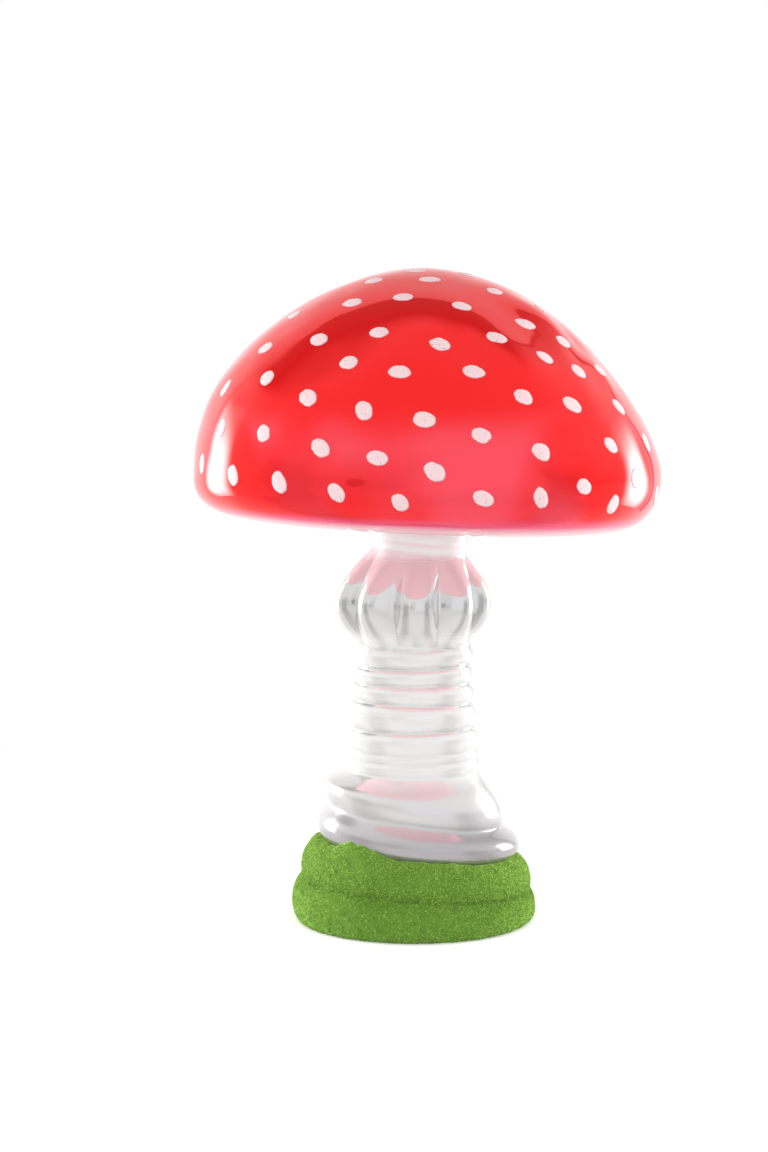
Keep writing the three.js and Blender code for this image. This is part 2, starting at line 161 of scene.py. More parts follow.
class StemSettings(bpy.types.PropertyGroup):
    """Sizes and colours of the silver stem"""

    wall: size_in_mm("Wall", "Thickness of the blown wall", 1.3)
    lobes: IntProperty(name="Lobes", description="Lobes pinched into the knop", default=9, min=2)
    lobe_depth: size_in_mm("Lobe depth", "Depth of the valleys between the lobes", 4.0)
    groove: size_in_mm("Groove", "Roundness of the grooves between rolls", 0.55)
    ripple: size_in_mm("Ripple", "Unevenness of the hand-worked wall", 0.1)
    silver: hex_colour("Silver", "Colour of the full silver film", "#f5f5f4")
    # Painted shade: the darker film near the foot stands in for the shade that the rolls mirror there
    shaded_silver: hex_colour("Dull silver", "Colour of the film near the foot", "#bebbbd")
    thin_silver: hex_colour("Thin silver", "Colour where the film is thin", "#ebeae9")


class CapSettings(bpy.types.PropertyGroup):
    """Sizes and colours of the red cap"""

    radius: size_in_mm("Radius", "Widest radius", 56.8)
    dome: size_in_mm("Dome", "Height over the widest place", 51)
    dome_power: FloatProperty(
        name="Dome power", description="2 is an ellipse, less is drawn in", default=1.78
    )
    rim: size_in_mm("Rim", "Height under the widest place", 10.8)
    rim_width: size_in_mm("Rim width", "Width of the rolled rim", 13)
    rim_power: FloatProperty(name="Rim power", description="2 is an ellipse, more is squarer", default=2.3)
    wall: size_in_mm("Wall", "Thickness of the blown wall", 1.3)
    ripple: size_in_mm("Ripple", "Unevenness of the dome", 0.45)
    wobble: size_in_mm("Wobble", "Its finer waves", 0.16)
    lacquer: hex_colour("Lacquer", "Colour of the red lacquer", "#fa0608")
    # Rosy clouds: partly thinner lacquer, partly painted light of the white table on the lower front
    rosy_lacquer_and_painted_light: hex_colour("Rosy lacquer", "Colour of its thinner clouds", "#fb4657")
    rim_lacquer: hex_colour("Rim lacquer", "Colour where the lacquer starts to run thin", "#ff5c88")
    thin_lacquer: hex_colour("Thin lacquer", "Colour where it runs thin under the rim", "#ffced5")


class DotSettings(bpy.types.PropertyGroup):
    """Sizes and colours of the white dots"""

    length: size_in_mm("Length", "Along the dab", 5.1)
    width: size_in_mm("Width", "Across the dab", 3.8)
    height: size_in_mm("Height", "Over the glass", 0.25)
    grain: size_in_mm("Grain", "Width of the paint's grains", 0.5)
    paint: hex_colour("Paint", "Colour of the paint", "#e2c6c8")
    grit: hex_colour("Grit", "Colour between the grains", "#c2929a")
    # Painted shade: the darker edge stands in for each dot's contact shadow and its reflection in the
    # silver under it
    edge: hex_colour("Edge", "Colour of the thin edge", "#c4868e")


class MossSettings(bpy.types.PropertyGroup):
    """Sizes and colours of the moss coat"""

    coat: size_in_mm("Coat", "Thickness of the coat", 0.8)
    grain: size_in_mm("Grain", "Length of a grain of flock", 0.62)
    grains: IntProperty(name="Grains", description="Loose grains on the coat", default=32000, min=0)
    deep: hex_colour("Deep green", "Darkest grains", "#2e6006")
    bright: hex_colour("Bright green", "Lightest grains", "#bcea70")


class JointSettings(bpy.types.PropertyGroup):
    """Colours of the cement and the cork"""

    cement: hex_colour("Cement", "Colour of the cement", "#ece6d8")
    cork: hex_colour("Cork", "Colour of the cork", "#c39a66")
    cork_grain: hex_colour("Cork grain", "Colour of its darker grains", "#7a4f2b")


class StageSettings(bpy.types.PropertyGroup):
    """Camera, lamps and room"""

    eye: FloatVectorProperty(
        name="Eye",
        description="Place of the camera",
        default=(mm(-10.44), mm(-628), mm(141.8)),
        subtype="TRANSLATION",
        unit="LENGTH",
    )
    pitch: FloatProperty(
        name="Pitch",
        description="How far the camera looks down",
        default=math.radians(5.15),
        subtype="ANGLE",
    )
    lens: FloatProperty(
        name="Lens", description="Focal length on a 36 mm film, in millimetres", default=80.4, unit="CAMERA"
    )
    box_light: FloatProperty(name="Softboxes", description="Brightness of the softboxes", default=6.5)
    soft_light: FloatProperty(name="Soft light", description="Soft light from in front", default=1.34)
    side_light: FloatProperty(name="Side light", description="Soft light from the sides", default=7.0)
    back_light: hex_colour("Back light", "Soft light from behind", "#c8c8c8")
    table: hex_colour("Table", "Paint of the table", "#f0f0f0")
    # Painted shade: the grey in which the glass mirrors the table in front, standing for the shade on it
    shaded_table: hex_colour("Dull table", "Table as the glass mirrors it", "#cecece")
    floor: hex_colour("Floor", "Floor round the table that the glass mirrors", "#dadada")
    low_room: hex_colour("Low room", "Colour of the mirrored room low down", "#c4c4c4")
    high_room: hex_colour("High room", "Colour of the mirrored room higher up", "#e4e4e4")
    high_paper: hex_colour("High paper", "Colour of the backdrop higher up", "#d2d2d2")
    overhead: hex_colour("Overhead", "Colour of the dark space behind", "#7c7c7c")
    flags: hex_colour("Flags", "Colour of the dull cloths at the sides", "#b0b0b0")
    panel: hex_colour("Panel", "Colour of the panel in front", "#e7e7eb")
    dark_spot: hex_colour("Dark spot", "Colour of the small dark thing in front on the left", "#959595")


# A roll of the stem at its own heights, in metres and radians
Roll = namedtuple("Roll", "crest crest_z groove groove_z tilt sway")


def stack(sizes, bottom):
    """Rolls set one on top of the other"""
    rolls = []
    for size in sizes:
        crest_z = bottom + mm(size.rise)
        bottom = crest_z + mm(size.fall)
        tilt = math.radians(size.tilt)
        rolls.append(Roll(mm(size.crest), crest_z, mm(size.groove), bottom, tilt, mm(size.sway)))
    return rolls


def top_of(roll):
    """Radius and height of the groove over a roll"""
    return roll.groove, roll.groove_z


FOOT_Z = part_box("blow_hole_plug")[0].z - mm(CORK_RECESS)
foot_rolls = stack(FOOT_ROLLS, FOOT_Z)
silver_rolls = stack(SILVER_ROLLS, foot_rolls[-1].groove_z)
tube_rings = stack(TUBE_RINGS, silver_rolls[-1].groove_z)
knop = stack([KNOP], tube_rings[-1].groove_z)[0]
neck_rings = stack(NECK_RINGS, knop.groove_z)
stem_rolls = [*foot_rolls, *silver_rolls, *tube_rings, knop, *neck_rings]
SEAT_Z = neck_rings[-1].groove_z
SPIGOT_RADIUS = mm(NECK_RADIUS - SEAT_WIDTH)
SPIGOT = ((SPIGOT_RADIUS, SEAT_Z), (SPIGOT_RADIUS, SEAT_Z + mm(SPIGOT_LENGTH)))
UNDERSIDE_Z = SEAT_Z + mm(CEMENT_BEAD + 2 * FIT_GAP)
COLLAR_BORE = SPIGOT_RADIUS + mm(FIT_GAP)


def smooth_step(value, start=0.0, end=1.0):
    """Eases from 0 at start to 1 at end"""
    share = np.clip((value - start) / (end - start), 0, 1)
    return share * share * (3 - 2 * share)


def ease_between(knots, values, places):
    """Values at places between knots, easing in and out of each knot"""
    knots, values = np.asarray(knots), np.asarray(values)
    upper = np.clip(np.searchsorted(knots, places), 1, len(knots) - 1)
    share = smooth_step(places, knots[upper - 1], knots[upper])
    return values[upper - 1] + (values[upper] - values[upper - 1]) * share


def facing(x, y):
    """1 straight in front of the axis, falling to -1 straight behind it"""
    return -y / np.maximum(np.hypot(x, y), LEAST_RADIUS)


def lean_stem(grid):
    """Tilts each level of the stem about its own centre, which sways sideways"""
    x, y, z = np.moveaxis(grid, -1, 0)
    crests = [roll.crest_z for roll in stem_rolls]
    tilts = [0, *(roll.tilt for roll in stem_rolls), math.radians(CAP_TILT)]
    lean = np.tan(ease_between([0, *crests, SEAT_Z], tilts, z))
    sway = ease_between(crests, [roll.sway for roll in stem_rolls], z)
    return np.stack([x + sway, y, z - lean * x], axis=-1)


def roll_arc(roll, below, turns):
    """Outline of one roll, a half turn of an ellipse from the groove below it to the groove above"""
    rising = turns <= np.pi / 2
    base = np.where(rising, below[0], roll.groove)
    reach = np.where(rising, roll.crest_z - below[1], roll.groove_z - roll.crest_z)
    radius = base + (roll.crest - base) * np.sin(turns)
    return np.stack([radius, roll.crest_z - reach * np.cos(turns)], axis=-1)


def roll_outline(rolls, below, steps, keeps=None):
    """Outline of rolls on top of each other, from the groove below them, with round or sloping shoulders"""
    arcs = []
    for roll in rolls:
        turns = np.linspace(0, np.pi / 2 if keeps else np.pi, steps + 1)[1:]
        arcs.append(roll_arc(roll, below, turns))
        if keeps:
            arcs.append(shoulder(roll, keeps, steps))
        below = top_of(roll)
    return np.concatenate(arcs)


def shoulder(roll, keeps, steps):
    """Curve from a roll's crest to the groove above it, which it meets along its own slope"""
    crest, groove = np.array((roll.crest, roll.crest_z)), np.array(top_of(roll))
    upright = (roll.crest, roll.crest_z + (roll.groove_z - roll.crest_z) * keeps["shoulder"])
    return bezier(crest, upright, groove + (crest - groove) * keeps["neck"], groove, steps)


def bezier(start, leave, arrive, end, steps):
    """Points of a cubic curve after its start"""
    t = np.linspace(0, 1, steps + 1)[1:, None]
    start, leave, arrive, end = (np.array(point) for point in (start, leave, arrive, end))
    return start * (1 - t) ** 3 + 3 * leave * t * (1 - t) ** 2 + 3 * arrive * t * t * (1 - t) + end * t**3


def knop_outline(steps):
    """Outline of the knop: full in the middle, drawn in to the tube below and to the neck above"""
    foot = top_of(tube_rings[-1])
    rise = mm(KNOP.rise)
    keep_foot = (foot[0], foot[1] + rise * KNOP_KEEPS["foot"])
    keep_belly = (knop.crest, knop.crest_z - rise * KNOP_KEEPS["belly"])
    lower = bezier(foot, keep_foot, keep_belly, (knop.crest, knop.crest_z), steps)
    return np.concatenate([lower, shoulder(knop, KNOP_KEEPS, steps)])


def resample(outline, step):
    """Outline with its points an even step apart"""
    lengths = np.concatenate([[0], np.cumsum(np.linalg.norm(np.diff(outline, axis=0), axis=1))])
    even = np.linspace(0, lengths[-1], max(2, round(lengths[-1] / step) + 1))
    return np.stack([np.interp(even, lengths, outline[:, i]) for i in (0, 1)], axis=-1)


def blur_rows(rows):
    """Moves each row but the first and last towards its neighbours, in place"""
    rows[1:-1] = (rows[:-2] + 2 * rows[1:-1] + rows[2:]) / 4


def soften(outline, step, radius):
    """Outline at an even step, with its grooves and corners rounded as fire-polishing rounds them"""
    soft = resample(outline, step)
    for _ in range(round(2 * (radius / step) ** 2)):
        blur_rows(soft)
    return soft


def lathe(outline, columns):
    """Grid of points: a row for each point of the outline, a column for each step round from the front"""
    angles = np.arange(columns) * (2 * np.pi / columns)
    radius, height = outline[..., 0], outline[..., 1]
    if outline.ndim == 2:
        radius, height = radius[:, None], height[:, None]
    flat = np.zeros(columns)
    return np.stack([radius * np.sin(angles), -radius * np.cos(angles), height + flat], axis=-1)


def outward(grid):
    """Unit normals of a grid whose rows run up the outside"""
    up = np.gradient(grid, axis=0)
    around = np.roll(grid, -1, axis=1) - np.roll(grid, 1, axis=1)
    normals = np.cross(around, up)
    return normals / np.maximum(np.linalg.norm(normals, axis=-1, keepdims=True), LEAST_LENGTH)


def cloud(grid, cell, seed):
    """Smooth noise from about -1 to 1 at each point of a grid, with cells of one size"""
    shift = Vector((seed, 0, 0))
    points = grid.reshape(-1, 3) / cell
    return np.array([noise.noise(Vector(point) + shift) for point in points]).reshape(grid.shape[:-1])


def roughen(grid, height, cell, seed):
    """Moves the points of a grid in and out by smooth noise, and gives the normals that they moved along"""
    normals = outward(grid)
    grid += normals * (height * cloud(grid, cell, seed))[..., None]
    return normals


def grid_faces(rows, columns, closed):
    """Quads of a grid whose columns go round, and whose rows close on themselves or not"""
    row = np.arange(rows if closed else rows - 1)[:, None]
    column = np.arange(columns)[None, :]
    above, beside = (row + 1) % rows, (column + 1) % columns
    corners = ((row, column), (row, beside), (above, beside), (above, column))
    places = np.broadcast_arrays(*(level * columns + step for level, step in corners))
    return np.stack(places, axis=-1).reshape(-1, 4)


def add_piece(name, points, faces, material, slot, *nodes):
    """Adds a smooth mesh with doubled points welded, riding on the ornament and standing for its solids"""
    mesh = bpy.data.meshes.new(name)
    points = np.asarray(points).reshape(-1, 3).tolist()
    mesh.from_pydata(points, [], [list(map(int, face)) for face in faces])
    built = bmesh.new()
    built.from_mesh(mesh)
    bmesh.ops.remove_doubles(built, verts=built.verts, dist=WELD)
    built.to_mesh(mesh)
    built.free()
    mesh.materials.append(material)
    mesh.shade_smooth()
    piece = bpy.data.objects.new(name, mesh)
    bpy.context.scene.collection.objects.link(piece)
    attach(piece, BODY)
    if nodes:
        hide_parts(*nodes)
    return piece


def points_of(piece):
    """Places of a piece's points"""
    return np.array([vertex.co for vertex in piece.data.vertices])


def add_layer(piece, name, values):
    """Gives each point of a piece a number for its material to read"""
    layer = piece.data.attributes.new(name, "FLOAT", "POINT")
    layer.data.foreach_set("value", np.asarray(values, np.float32))


def add_node(tree, kind, inputs=None, output=0, **settings):
    """Adds a shader node with its settings, sets or links its inputs, and gives one of its outputs"""
    node = tree.nodes.new("ShaderNode" + kind)
    for name, value in settings.items():
        setattr(node, name, value)
    for name, value in (inputs or {}).items():
        socket = node.inputs[name]
        if isinstance(value, bpy.types.NodeSocket):
            tree.links.new(value, socket)
        else:
            socket.default_value = (*value, 1.0) if socket.type == "RGBA" else value
    return node.outputs[output] if node.outputs else None


def clear_nodes(owner):
    """Empties the nodes of a material, lamp or world, and gives the function that adds a node to it"""
    owner.use_nodes = True
    owner.node_tree.nodes.clear()
    return partial(add_node, owner.node_tree)


def new_material(recipe, settings):
    """Material named for its recipe, with one Principled shader whose inputs the recipe gives"""
    material = bpy.data.materials.new(recipe.__name__)
    node = clear_nodes(material)
    place = node("TexCoord", None, "Object")
    node("OutputMaterial", {"Surface": node("BsdfPrincipled", recipe(node, place, settings))})
    return material


def silvered_blown_glass(node, place, settings):
    """Silvered blown glass: soda glass worked in the flame, with silver laid down inside it"""
    # The film is a clean mirror on the knop, and milky where the tube was drawn out, so the tube looks
    # pearly. The glass over it, smooth from the flame, adds a clear gloss of its own.
    layers = ("milk", "blur", "unshaded")
    milk, blur, unshaded = (node("Attribute", None, "Fac", attribute_name=layer) for layer in layers)
    film = node("TexNoise", {"Vector": place, "Scale": 1 / mm(12), "Detail": 3.0})
    silver = node("Mix", {"Factor": film, 6: settings.silver, 7: settings.thin_silver}, 2, data_type="RGBA")
    # Painted shade: the silver is darker towards the foot, standing in for the shaded table and moss that
    # the rolls mirror there
    silver = node("Mix", {"Factor": unshaded, 6: settings.shaded_silver, 7: silver}, 2, data_type="RGBA")
    # Threads of the turning glass run round the tube, where it is milky
    stretched = node("Mapping", {"Vector": place, "Scale": (0.1, 0.1, 1.0)})
    threads = node("TexNoise", {"Vector": stretched, "Scale": 1 / mm(1.1), "Detail": 1.0})
    drawn = node("MapRange", {"Value": milk, "From Min": 0.4, "From Max": 0.48})
    return {
        "Base Color": silver,
        "Metallic": node("Math", {0: 1.0, 1: milk}, operation="SUBTRACT"),
        "Roughness": blur,
        "Normal": node("Bump", {"Height": threads, "Distance": mm(0.15), "Strength": drawn}),
        "Coat Weight": 1.0,
        "Coat Roughness": 0.015,
        "Coat IOR": 1.52,
    }


def red_lacquered_silvered_glass(node, place, settings):
    """Red lacquer over silvered blown glass: dipped from the crown, thinner under the rim"""
    # The lacquer has some body, so it glows red by itself and also tints the mirror under it. Its own
    # clear gloss turns pale towards the edges of the dome.
    layers = ("lacquer", "clouds")
    cover, clouds = (node("Attribute", None, "Fac", attribute_name=layer) for layer in layers)
    streak = node("TexNoise", {"Vector": place, "Scale": 1 / mm(9), "Detail": 2.0})
    uneven = node("MapRange", {"Value": streak, "To Min": 0.93, "To Max": 1.05})
    share = node("Math", {0: cover, 1: uneven}, operation="MULTIPLY", use_clamp=True)
    # Rosy clouds: partly thinner lacquer, partly painted light of the white table on the lower front
    reds = {"Factor": clouds, 6: settings.lacquer, 7: settings.rosy_lacquer_and_painted_light}
    red = node("Mix", reds, 2, data_type="RGBA")
    tint = settings.thin_lacquer
    for start, end, fuller in ((0.0, 0.45, settings.rim_lacquer), (0.45, 0.95, red)):
        step = node("MapRange", {"Value": share, "From Min": start, "From Max": end})
        tint = node("Mix", {"Factor": step, 6: tint, 7: fuller}, 2, data_type="RGBA")
    return {
        "Base Color": tint,
        "Metallic": 0.5,
        # Thin lacquer dries dull
        "Roughness": node("MapRange", {"Value": cover, "To Min": 0.55, "To Max": 0.05}),
        "Specular IOR Level": 0.0,
        "Coat Weight": 1.0,
        "Coat Roughness": 0.03,
        "Coat IOR": 1.42,
    }


def granular_white_paint(node, place, settings):
    """Thick white paint with fine grit, dabbed on by hand and dried"""
    # Grains catch the light one by one, with greyer hollows between them and no gloss.
    grains = node("TexNoise", {"Vector": place, "Scale": 1 / settings.grain, "Detail": 2.0})
    hollow = node(
        "MapRange", {"Value": grains, "From Min": 0.62, "From Max": 0.72}, interpolation_type="SMOOTHSTEP"
    )
    tint = node("Mix", {"Factor": hollow, 6: settings.paint, 7: settings.grit}, 2, data_type="RGBA")
    # Painted shade at the rim of each dab, for its contact shadow and that shadow's reflection in the
    # mirror
    edge = node("Attribute", None, "Fac", attribute_name="edge")
    return {
        "Base Color": node("Mix", {"Factor": edge, 6: tint, 7: settings.edge}, 2, data_type="RGBA"),
        "Roughness": 0.8,
        "Specular IOR Level": 0.3,
        "Normal": node("Bump", {"Height": grains, "Distance": mm(0.1), "Strength": 0.6}),
    }


def green_moss_flock(node, place, settings):
    """Moss made of green flock: short cut fibres shaken on to glue"""
    # Every fibre has its own green and its own lean, so the coat is a soft speckle, paler where light
    # grazes it.
    grain = node("NewGeometry", None, "Random Per Island")
    # Few grains are bright
    grain = node("Math", {0: grain, 1: 2.0}, operation="POWER")
    speck = node("TexNoise", {"Vector": place, "Scale": 1 / mm(0.5), "Detail": 1.0})
    patch = node("TexNoise", {"Vector": place, "Scale": 1 / mm(7), "Detail": 2.0})
    own = node("Mix", {"Factor": 0.86, 2: speck, 3: grain})
    share = node("Mix", {"Factor": 0.14, 2: own, 3: patch})
    green = node("Mix", {"Factor": share, 6: settings.deep, 7: settings.bright}, 2, data_type="RGBA")
    # Painted shade: the groove between the rolls is darkened towards the deep green, as shade falls there
    hollow = node("Attribute", None, "Fac", attribute_name="hollow")
    depth = node("Math", {0: hollow, 1: 0.45}, operation="MULTIPLY")
    return {
        "Base Color": node("Mix", {"Factor": depth, 6: green, 7: settings.deep}, 2, data_type="RGBA"),
        "Roughness": 1.0,
        "Specular IOR Level": 0.2,
        "Sheen Weight": 1.0,
        "Sheen Roughness": 0.55,
        "Sheen Tint": settings.bright,
    }


def epoxy_cement(node, place, settings):
    """Epoxy cement: a poured bead, set hard"""
    # Slightly cloudy and waxy, with a soft shine where it flowed.
    haze = node("TexNoise", {"Vector": place, "Scale": 1 / mm(3), "Detail": 3.0})
    # Its clouds are a fifth darker
    dull = [0.8 * channel for channel in settings.cement]
    return {
        "Base Color": node("Mix", {"Factor": haze, 6: settings.cement, 7: dull}, 2, data_type="RGBA"),
        "Roughness": 0.32,
        "IOR": 1.55,
        "Subsurface Weight": 0.25,
        "Subsurface Radius": (mm(1), mm(0.8), mm(0.5)),
    }


def pressed_cork(node, place, settings):
    """Cork: ground, pressed and cut to a stopper"""
    # Grains about a millimetre wide, each of its own brown, with dark seams between them.
    cells = {"Vector": place, "Scale": 1 / mm(1.1)}
    own = node("SeparateColor", {"Color": node("TexVoronoi", cells, "Color")})
    seams = node("TexVoronoi", cells, feature="DISTANCE_TO_EDGE")
    dark = node("MapRange", {"Value": seams, "From Max": 0.12, "To Min": 1.0, "To Max": 0.0})
    share = node("Math", {0: own, 1: dark}, operation="MAXIMUM")
    browns = {"Factor": share, 6: settings.cork, 7: settings.cork_grain}
    return {
        "Base Color": node("Mix", browns, 2, data_type="RGBA"),
        "Roughness": 0.9,
        "Specular IOR Level": 0.25,
        "Normal": node("Bump", {"Height": seams, "Distance": mm(0.2)}),
    }


def soft_patch(node, way, edges):
    """Share, from 0 to 1, of a patch with soft edges at each place or direction"""
    share = 1.0
    for (*line, sideways), start, end in edges:
        along = node("VectorMath", {0: way, 1: line}, "Value", operation="DOT_PRODUCT")
        if sideways:
            aside = node("Math", {0: node("SeparateXYZ", {0: way}, "X")}, operation="ABSOLUTE")
            along = node("Math", {0: aside, 1: sideways, 2: along}, operation="MULTIPLY_ADD")
        ends = {"Value": along, "From Min": start, "From Max": end}
        soft = node("MapRange", ends, interpolation_type="SMOOTHSTEP")
        share = node("Math", {0: soft, 1: share}, operation="MULTIPLY")
    return share


def lay_over(node, way, base, layers):
    """Colour of a base with layers over it, each of one colour in a patch with soft edges"""
    for edges, over in layers:
        share = soft_patch(node, way, edges)
        base = node("Mix", {"Factor": share, 6: base, 7: over}, 2, data_type="RGBA")
    return base


class MUSHROOM_OT_stage(bpy.types.Operator):
    """Set up the white table, the studio round it, the softboxes and the camera"""

    bl_idname = "mushroom.stage"
    bl_label = "Studio"

    TABLE_RADIUS = 0.32
    TABLE_SEGMENTS = 96
    # Distances between which the table passes into the white round it
    TABLE_FADE = (0.09, 0.31)
    # Glow that lifts the table to white: as the glass mirrors it, and as the camera sees it
    TABLE_GLOW = (0.1, 0.36)
    # Softboxes a little behind the sides: degrees round from the camera, height, distance, and own size
    BOX_AZIMUTH = 120.0
    BOX_Z = 0.1
    BOX_DISTANCE = 0.6
    BOX_WIDTH = 0.3
    BOX_HEIGHT = 0.56
    # How uneven the room is: patches as wide as a doorway seen across it
    ROOM_PATCHES = {"Scale": 2.2, "Detail": 2.0, "Distortion": 0.6}
    ROOM_LEVELS = {"From Min": 0.35, "From Max": 0.95}

    # Patches with soft edges. Each edge is a line, where along it the patch starts, and where it is full.
    # A line is its x, y and z, and its share of the distance sideways.
    X, Y, Z = (1, 0, 0, 0), (0, 1, 0, 0), (0, 0, 1, 0)
    BOX_FACE = ((X, 0.0, 0.4), (X, 1.0, 0.6), (Y, 0.0, 0.4), (Y, 1.0, 0.6))
    # Back of the table, which the glass mirrors as white as the backdrop, and the places of the cloths'
    # painted shadows on it
    TABLE_BACK = ((Y, 0.0, 0.12),)
    TABLE_CLOTH_SHADOWS = ((Y, 0.0, -0.25), (Y, -0.8, -0.5))
    FLOOR = ((Z, 0.0, -0.1),)
    # Dark space over the lamps behind, reaching further forward at the sides
    OVERHEAD = (((0.06, 1, 0, 0.3), 0.12, 0.42), (Z, 0.45, 0.62), (X, 0.75, 0.3), (X, -0.84, -0.7))
    # The backdrop hangs behind, in a thin dark frame: its left side, right side and top, each as a slope
    PAPER_LEFT = ((1, 1.1, 0, 0), 0.0, 0.2)
    FRAME = (PAPER_LEFT, ((-1, 0.76, 0, 0), 0.0, 0.03), ((0, 1.5, -1, 0), 0.0, 0.05))
    PAPER = (PAPER_LEFT, ((-1, 0.7, 0, 0), 0.0, 0.03), ((0, 1.38, -1, 0), 0.0, 0.05))
    PAPER_TOP = ((Z, 0.12, 0.62),)
    # Dull cloths hang low at both sides, a pale panel stands in front on the right, and a small dark
    # thing on the left
    FLAGS = ((Y, -0.05, -0.25), (Y, -0.64, -0.5), (Z, -0.5, -0.3), (Z, 0.3, 0.08))
    PANEL = (((0.35, -0.94, 0, 0), 0.72, 0.96), (Z, 0.65, 0.3), (Z, -0.25, 0.0))
    DARK_SPOT = (((-0.57, -0.82, 0.08, 0), 0.9993, 0.9999),)
    FRONT_LIGHT = (((0, 1, 0.35, 0), 0.7, -0.4),)
    SIDE_LIGHT = (((0, 0.42, 0, 0.9), 0.88, 0.97),)

    def execute(self, context):
        settings = context.scene.mushroom_stage
        context.scene.view_settings.view_transform = "Standard"
        self.room(context.scene, settings)
        self.table(context.scene, settings)
        for side in (-1, 1):
            self.softbox(context.scene, settings, side)
        self.camera(context.scene, settings)
        return {"FINISHED"}

    def camera(self, scene, settings):
        """The photograph's eye, level sideways and looking down a little"""
        camera = bpy.data.objects.new("camera", bpy.data.cameras.new("camera"))
        camera.data.lens = settings.lens
        camera.location = settings.eye
        camera.rotation_euler = (math.pi / 2 - settings.pitch, 0, 0)
        scene.collection.objects.link(camera)
        scene.camera = camera

    def softbox(self, scene, settings, side):
        """An upright softbox that lights the side and edges the glass with white"""
        lamp = bpy.data.lights.new("softbox", "AREA")
        lamp.shape = "RECTANGLE"
        lamp.size, lamp.size_y = self.BOX_WIDTH, self.BOX_HEIGHT
        # Cycles spreads a lamp's watts so that a quarter of them for each square metre is its brightness
        lamp.energy = 4 * self.BOX_WIDTH * self.BOX_HEIGHT * settings.box_light
        node = clear_nodes(lamp)
        fall = soft_patch(node, node("NewGeometry", None, "Parametric"), self.BOX_FACE)
        node("OutputLight", {"Surface": node("Emission", {"Strength": fall})})
        azimuth = math.radians(side * self.BOX_AZIMUTH)
        away = Vector((math.sin(azimuth), -math.cos(azimuth), 0))
        box = bpy.data.objects.new("softbox", lamp)
        box.location = away * self.BOX_DISTANCE + Vector((0, 0, self.BOX_Z))
        box.rotation_euler = away.to_track_quat("Z", "Y").to_euler()
        box.visible_camera = False
        scene.collection.objects.link(box)

    def rays(self, node):
        """Whether a ray is the camera's, and whether glass or metal mirrors or bends it"""
        names = ("Is Camera Ray", "Is Glossy Ray", "Is Transmission Ray")
        camera, glossy, bent = (node("LightPath", None, name) for name in names)
        return camera, node("Math", {0: glossy, 1: bent}, operation="MAXIMUM")

    def table(self, scene, settings):
        """A round white table under the ornament"""
        turns = np.arange(self.TABLE_SEGMENTS) * (2 * np.pi / self.TABLE_SEGMENTS)
        rim = self.TABLE_RADIUS * np.stack([np.cos(turns), np.sin(turns), 0 * turns], axis=-1)
        mesh = bpy.data.meshes.new("table")
        mesh.from_pydata(rim.tolist(), [], [range(self.TABLE_SEGMENTS)])
        mesh.materials.append(self.white_table(settings))
        table = bpy.data.objects.new("table", mesh)
        scene.collection.objects.link(table)

    def white_table(self, settings):
        """Matt white paint that keeps the shadow and fades into the white round it, with painted shade
        where the glass mirrors it
        """
        material = bpy.data.materials.new("white_table")
        node = clear_nodes(material)
        camera, mirrored = self.rays(node)
        seen = node("Math", {0: camera, 1: mirrored}, operation="MAXIMUM")
        low, high = self.TABLE_GLOW
        glow = node("MapRange", {"Value": camera, "To Min": low, "To Max": high})
        glow = node("Math", {0: glow, 1: seen}, operation="MULTIPLY")
        place = node("TexCoord", None, "Object")
        behind = soft_patch(node, place, self.TABLE_BACK)
        # Painted shade: the glass mirrors the table greyer than its paint, and greyer still under painted
        # shadows of the cloths at both sides
        way = node("VectorMath", {0: place}, operation="NORMALIZE")
        cloth_shadows = [(self.TABLE_CLOTH_SHADOWS, settings.flags)]
        paints = (settings.shaded_table, settings.floor)
        dull, around = (lay_over(node, way, paint, cloth_shadows) for paint in paints)
        paint = node("Mix", {"Factor": mirrored, 6: settings.table, 7: dull}, 2, data_type="RGBA")
        lift = node("Emission", {"Strength": glow})
        near = node("AddShader", {0: node("BsdfDiffuse", {"Color": paint}), 1: lift})
        start, end = self.TABLE_FADE
        away = node("VectorMath", {0: place}, "Value", operation="LENGTH")
        ends = {"Value": away, "From Min": start, "From Max": end}
        far = node("MapRange", ends, interpolation_type="SMOOTHSTEP")
        far = node("Math", {0: far, 1: seen}, operation="MULTIPLY")
        lit = node("Math", {0: behind, 1: mirrored}, operation="MULTIPLY")
        far = node("Math", {0: far, 1: lit}, operation="MAXIMUM")
        pale = node("Math", {0: camera, 1: behind}, operation="MAXIMUM")
        around = node("Mix", {"Factor": pale, 6: around, 7: WHITE}, 2, data_type="RGBA")
        sweep = node("MixShader", {0: far, 1: near, 2: node("Emission", {"Color": around})})
        node("OutputMaterial", {"Surface": sweep})
        return material

    def room(self, scene, settings):
        """White to the camera, plain soft light on everything, and a studio for the glass to mirror"""
        scene.world = bpy.data.worlds.new("studio")
        node = clear_nodes(scene.world)
        way = node("TexCoord", None, "Generated")
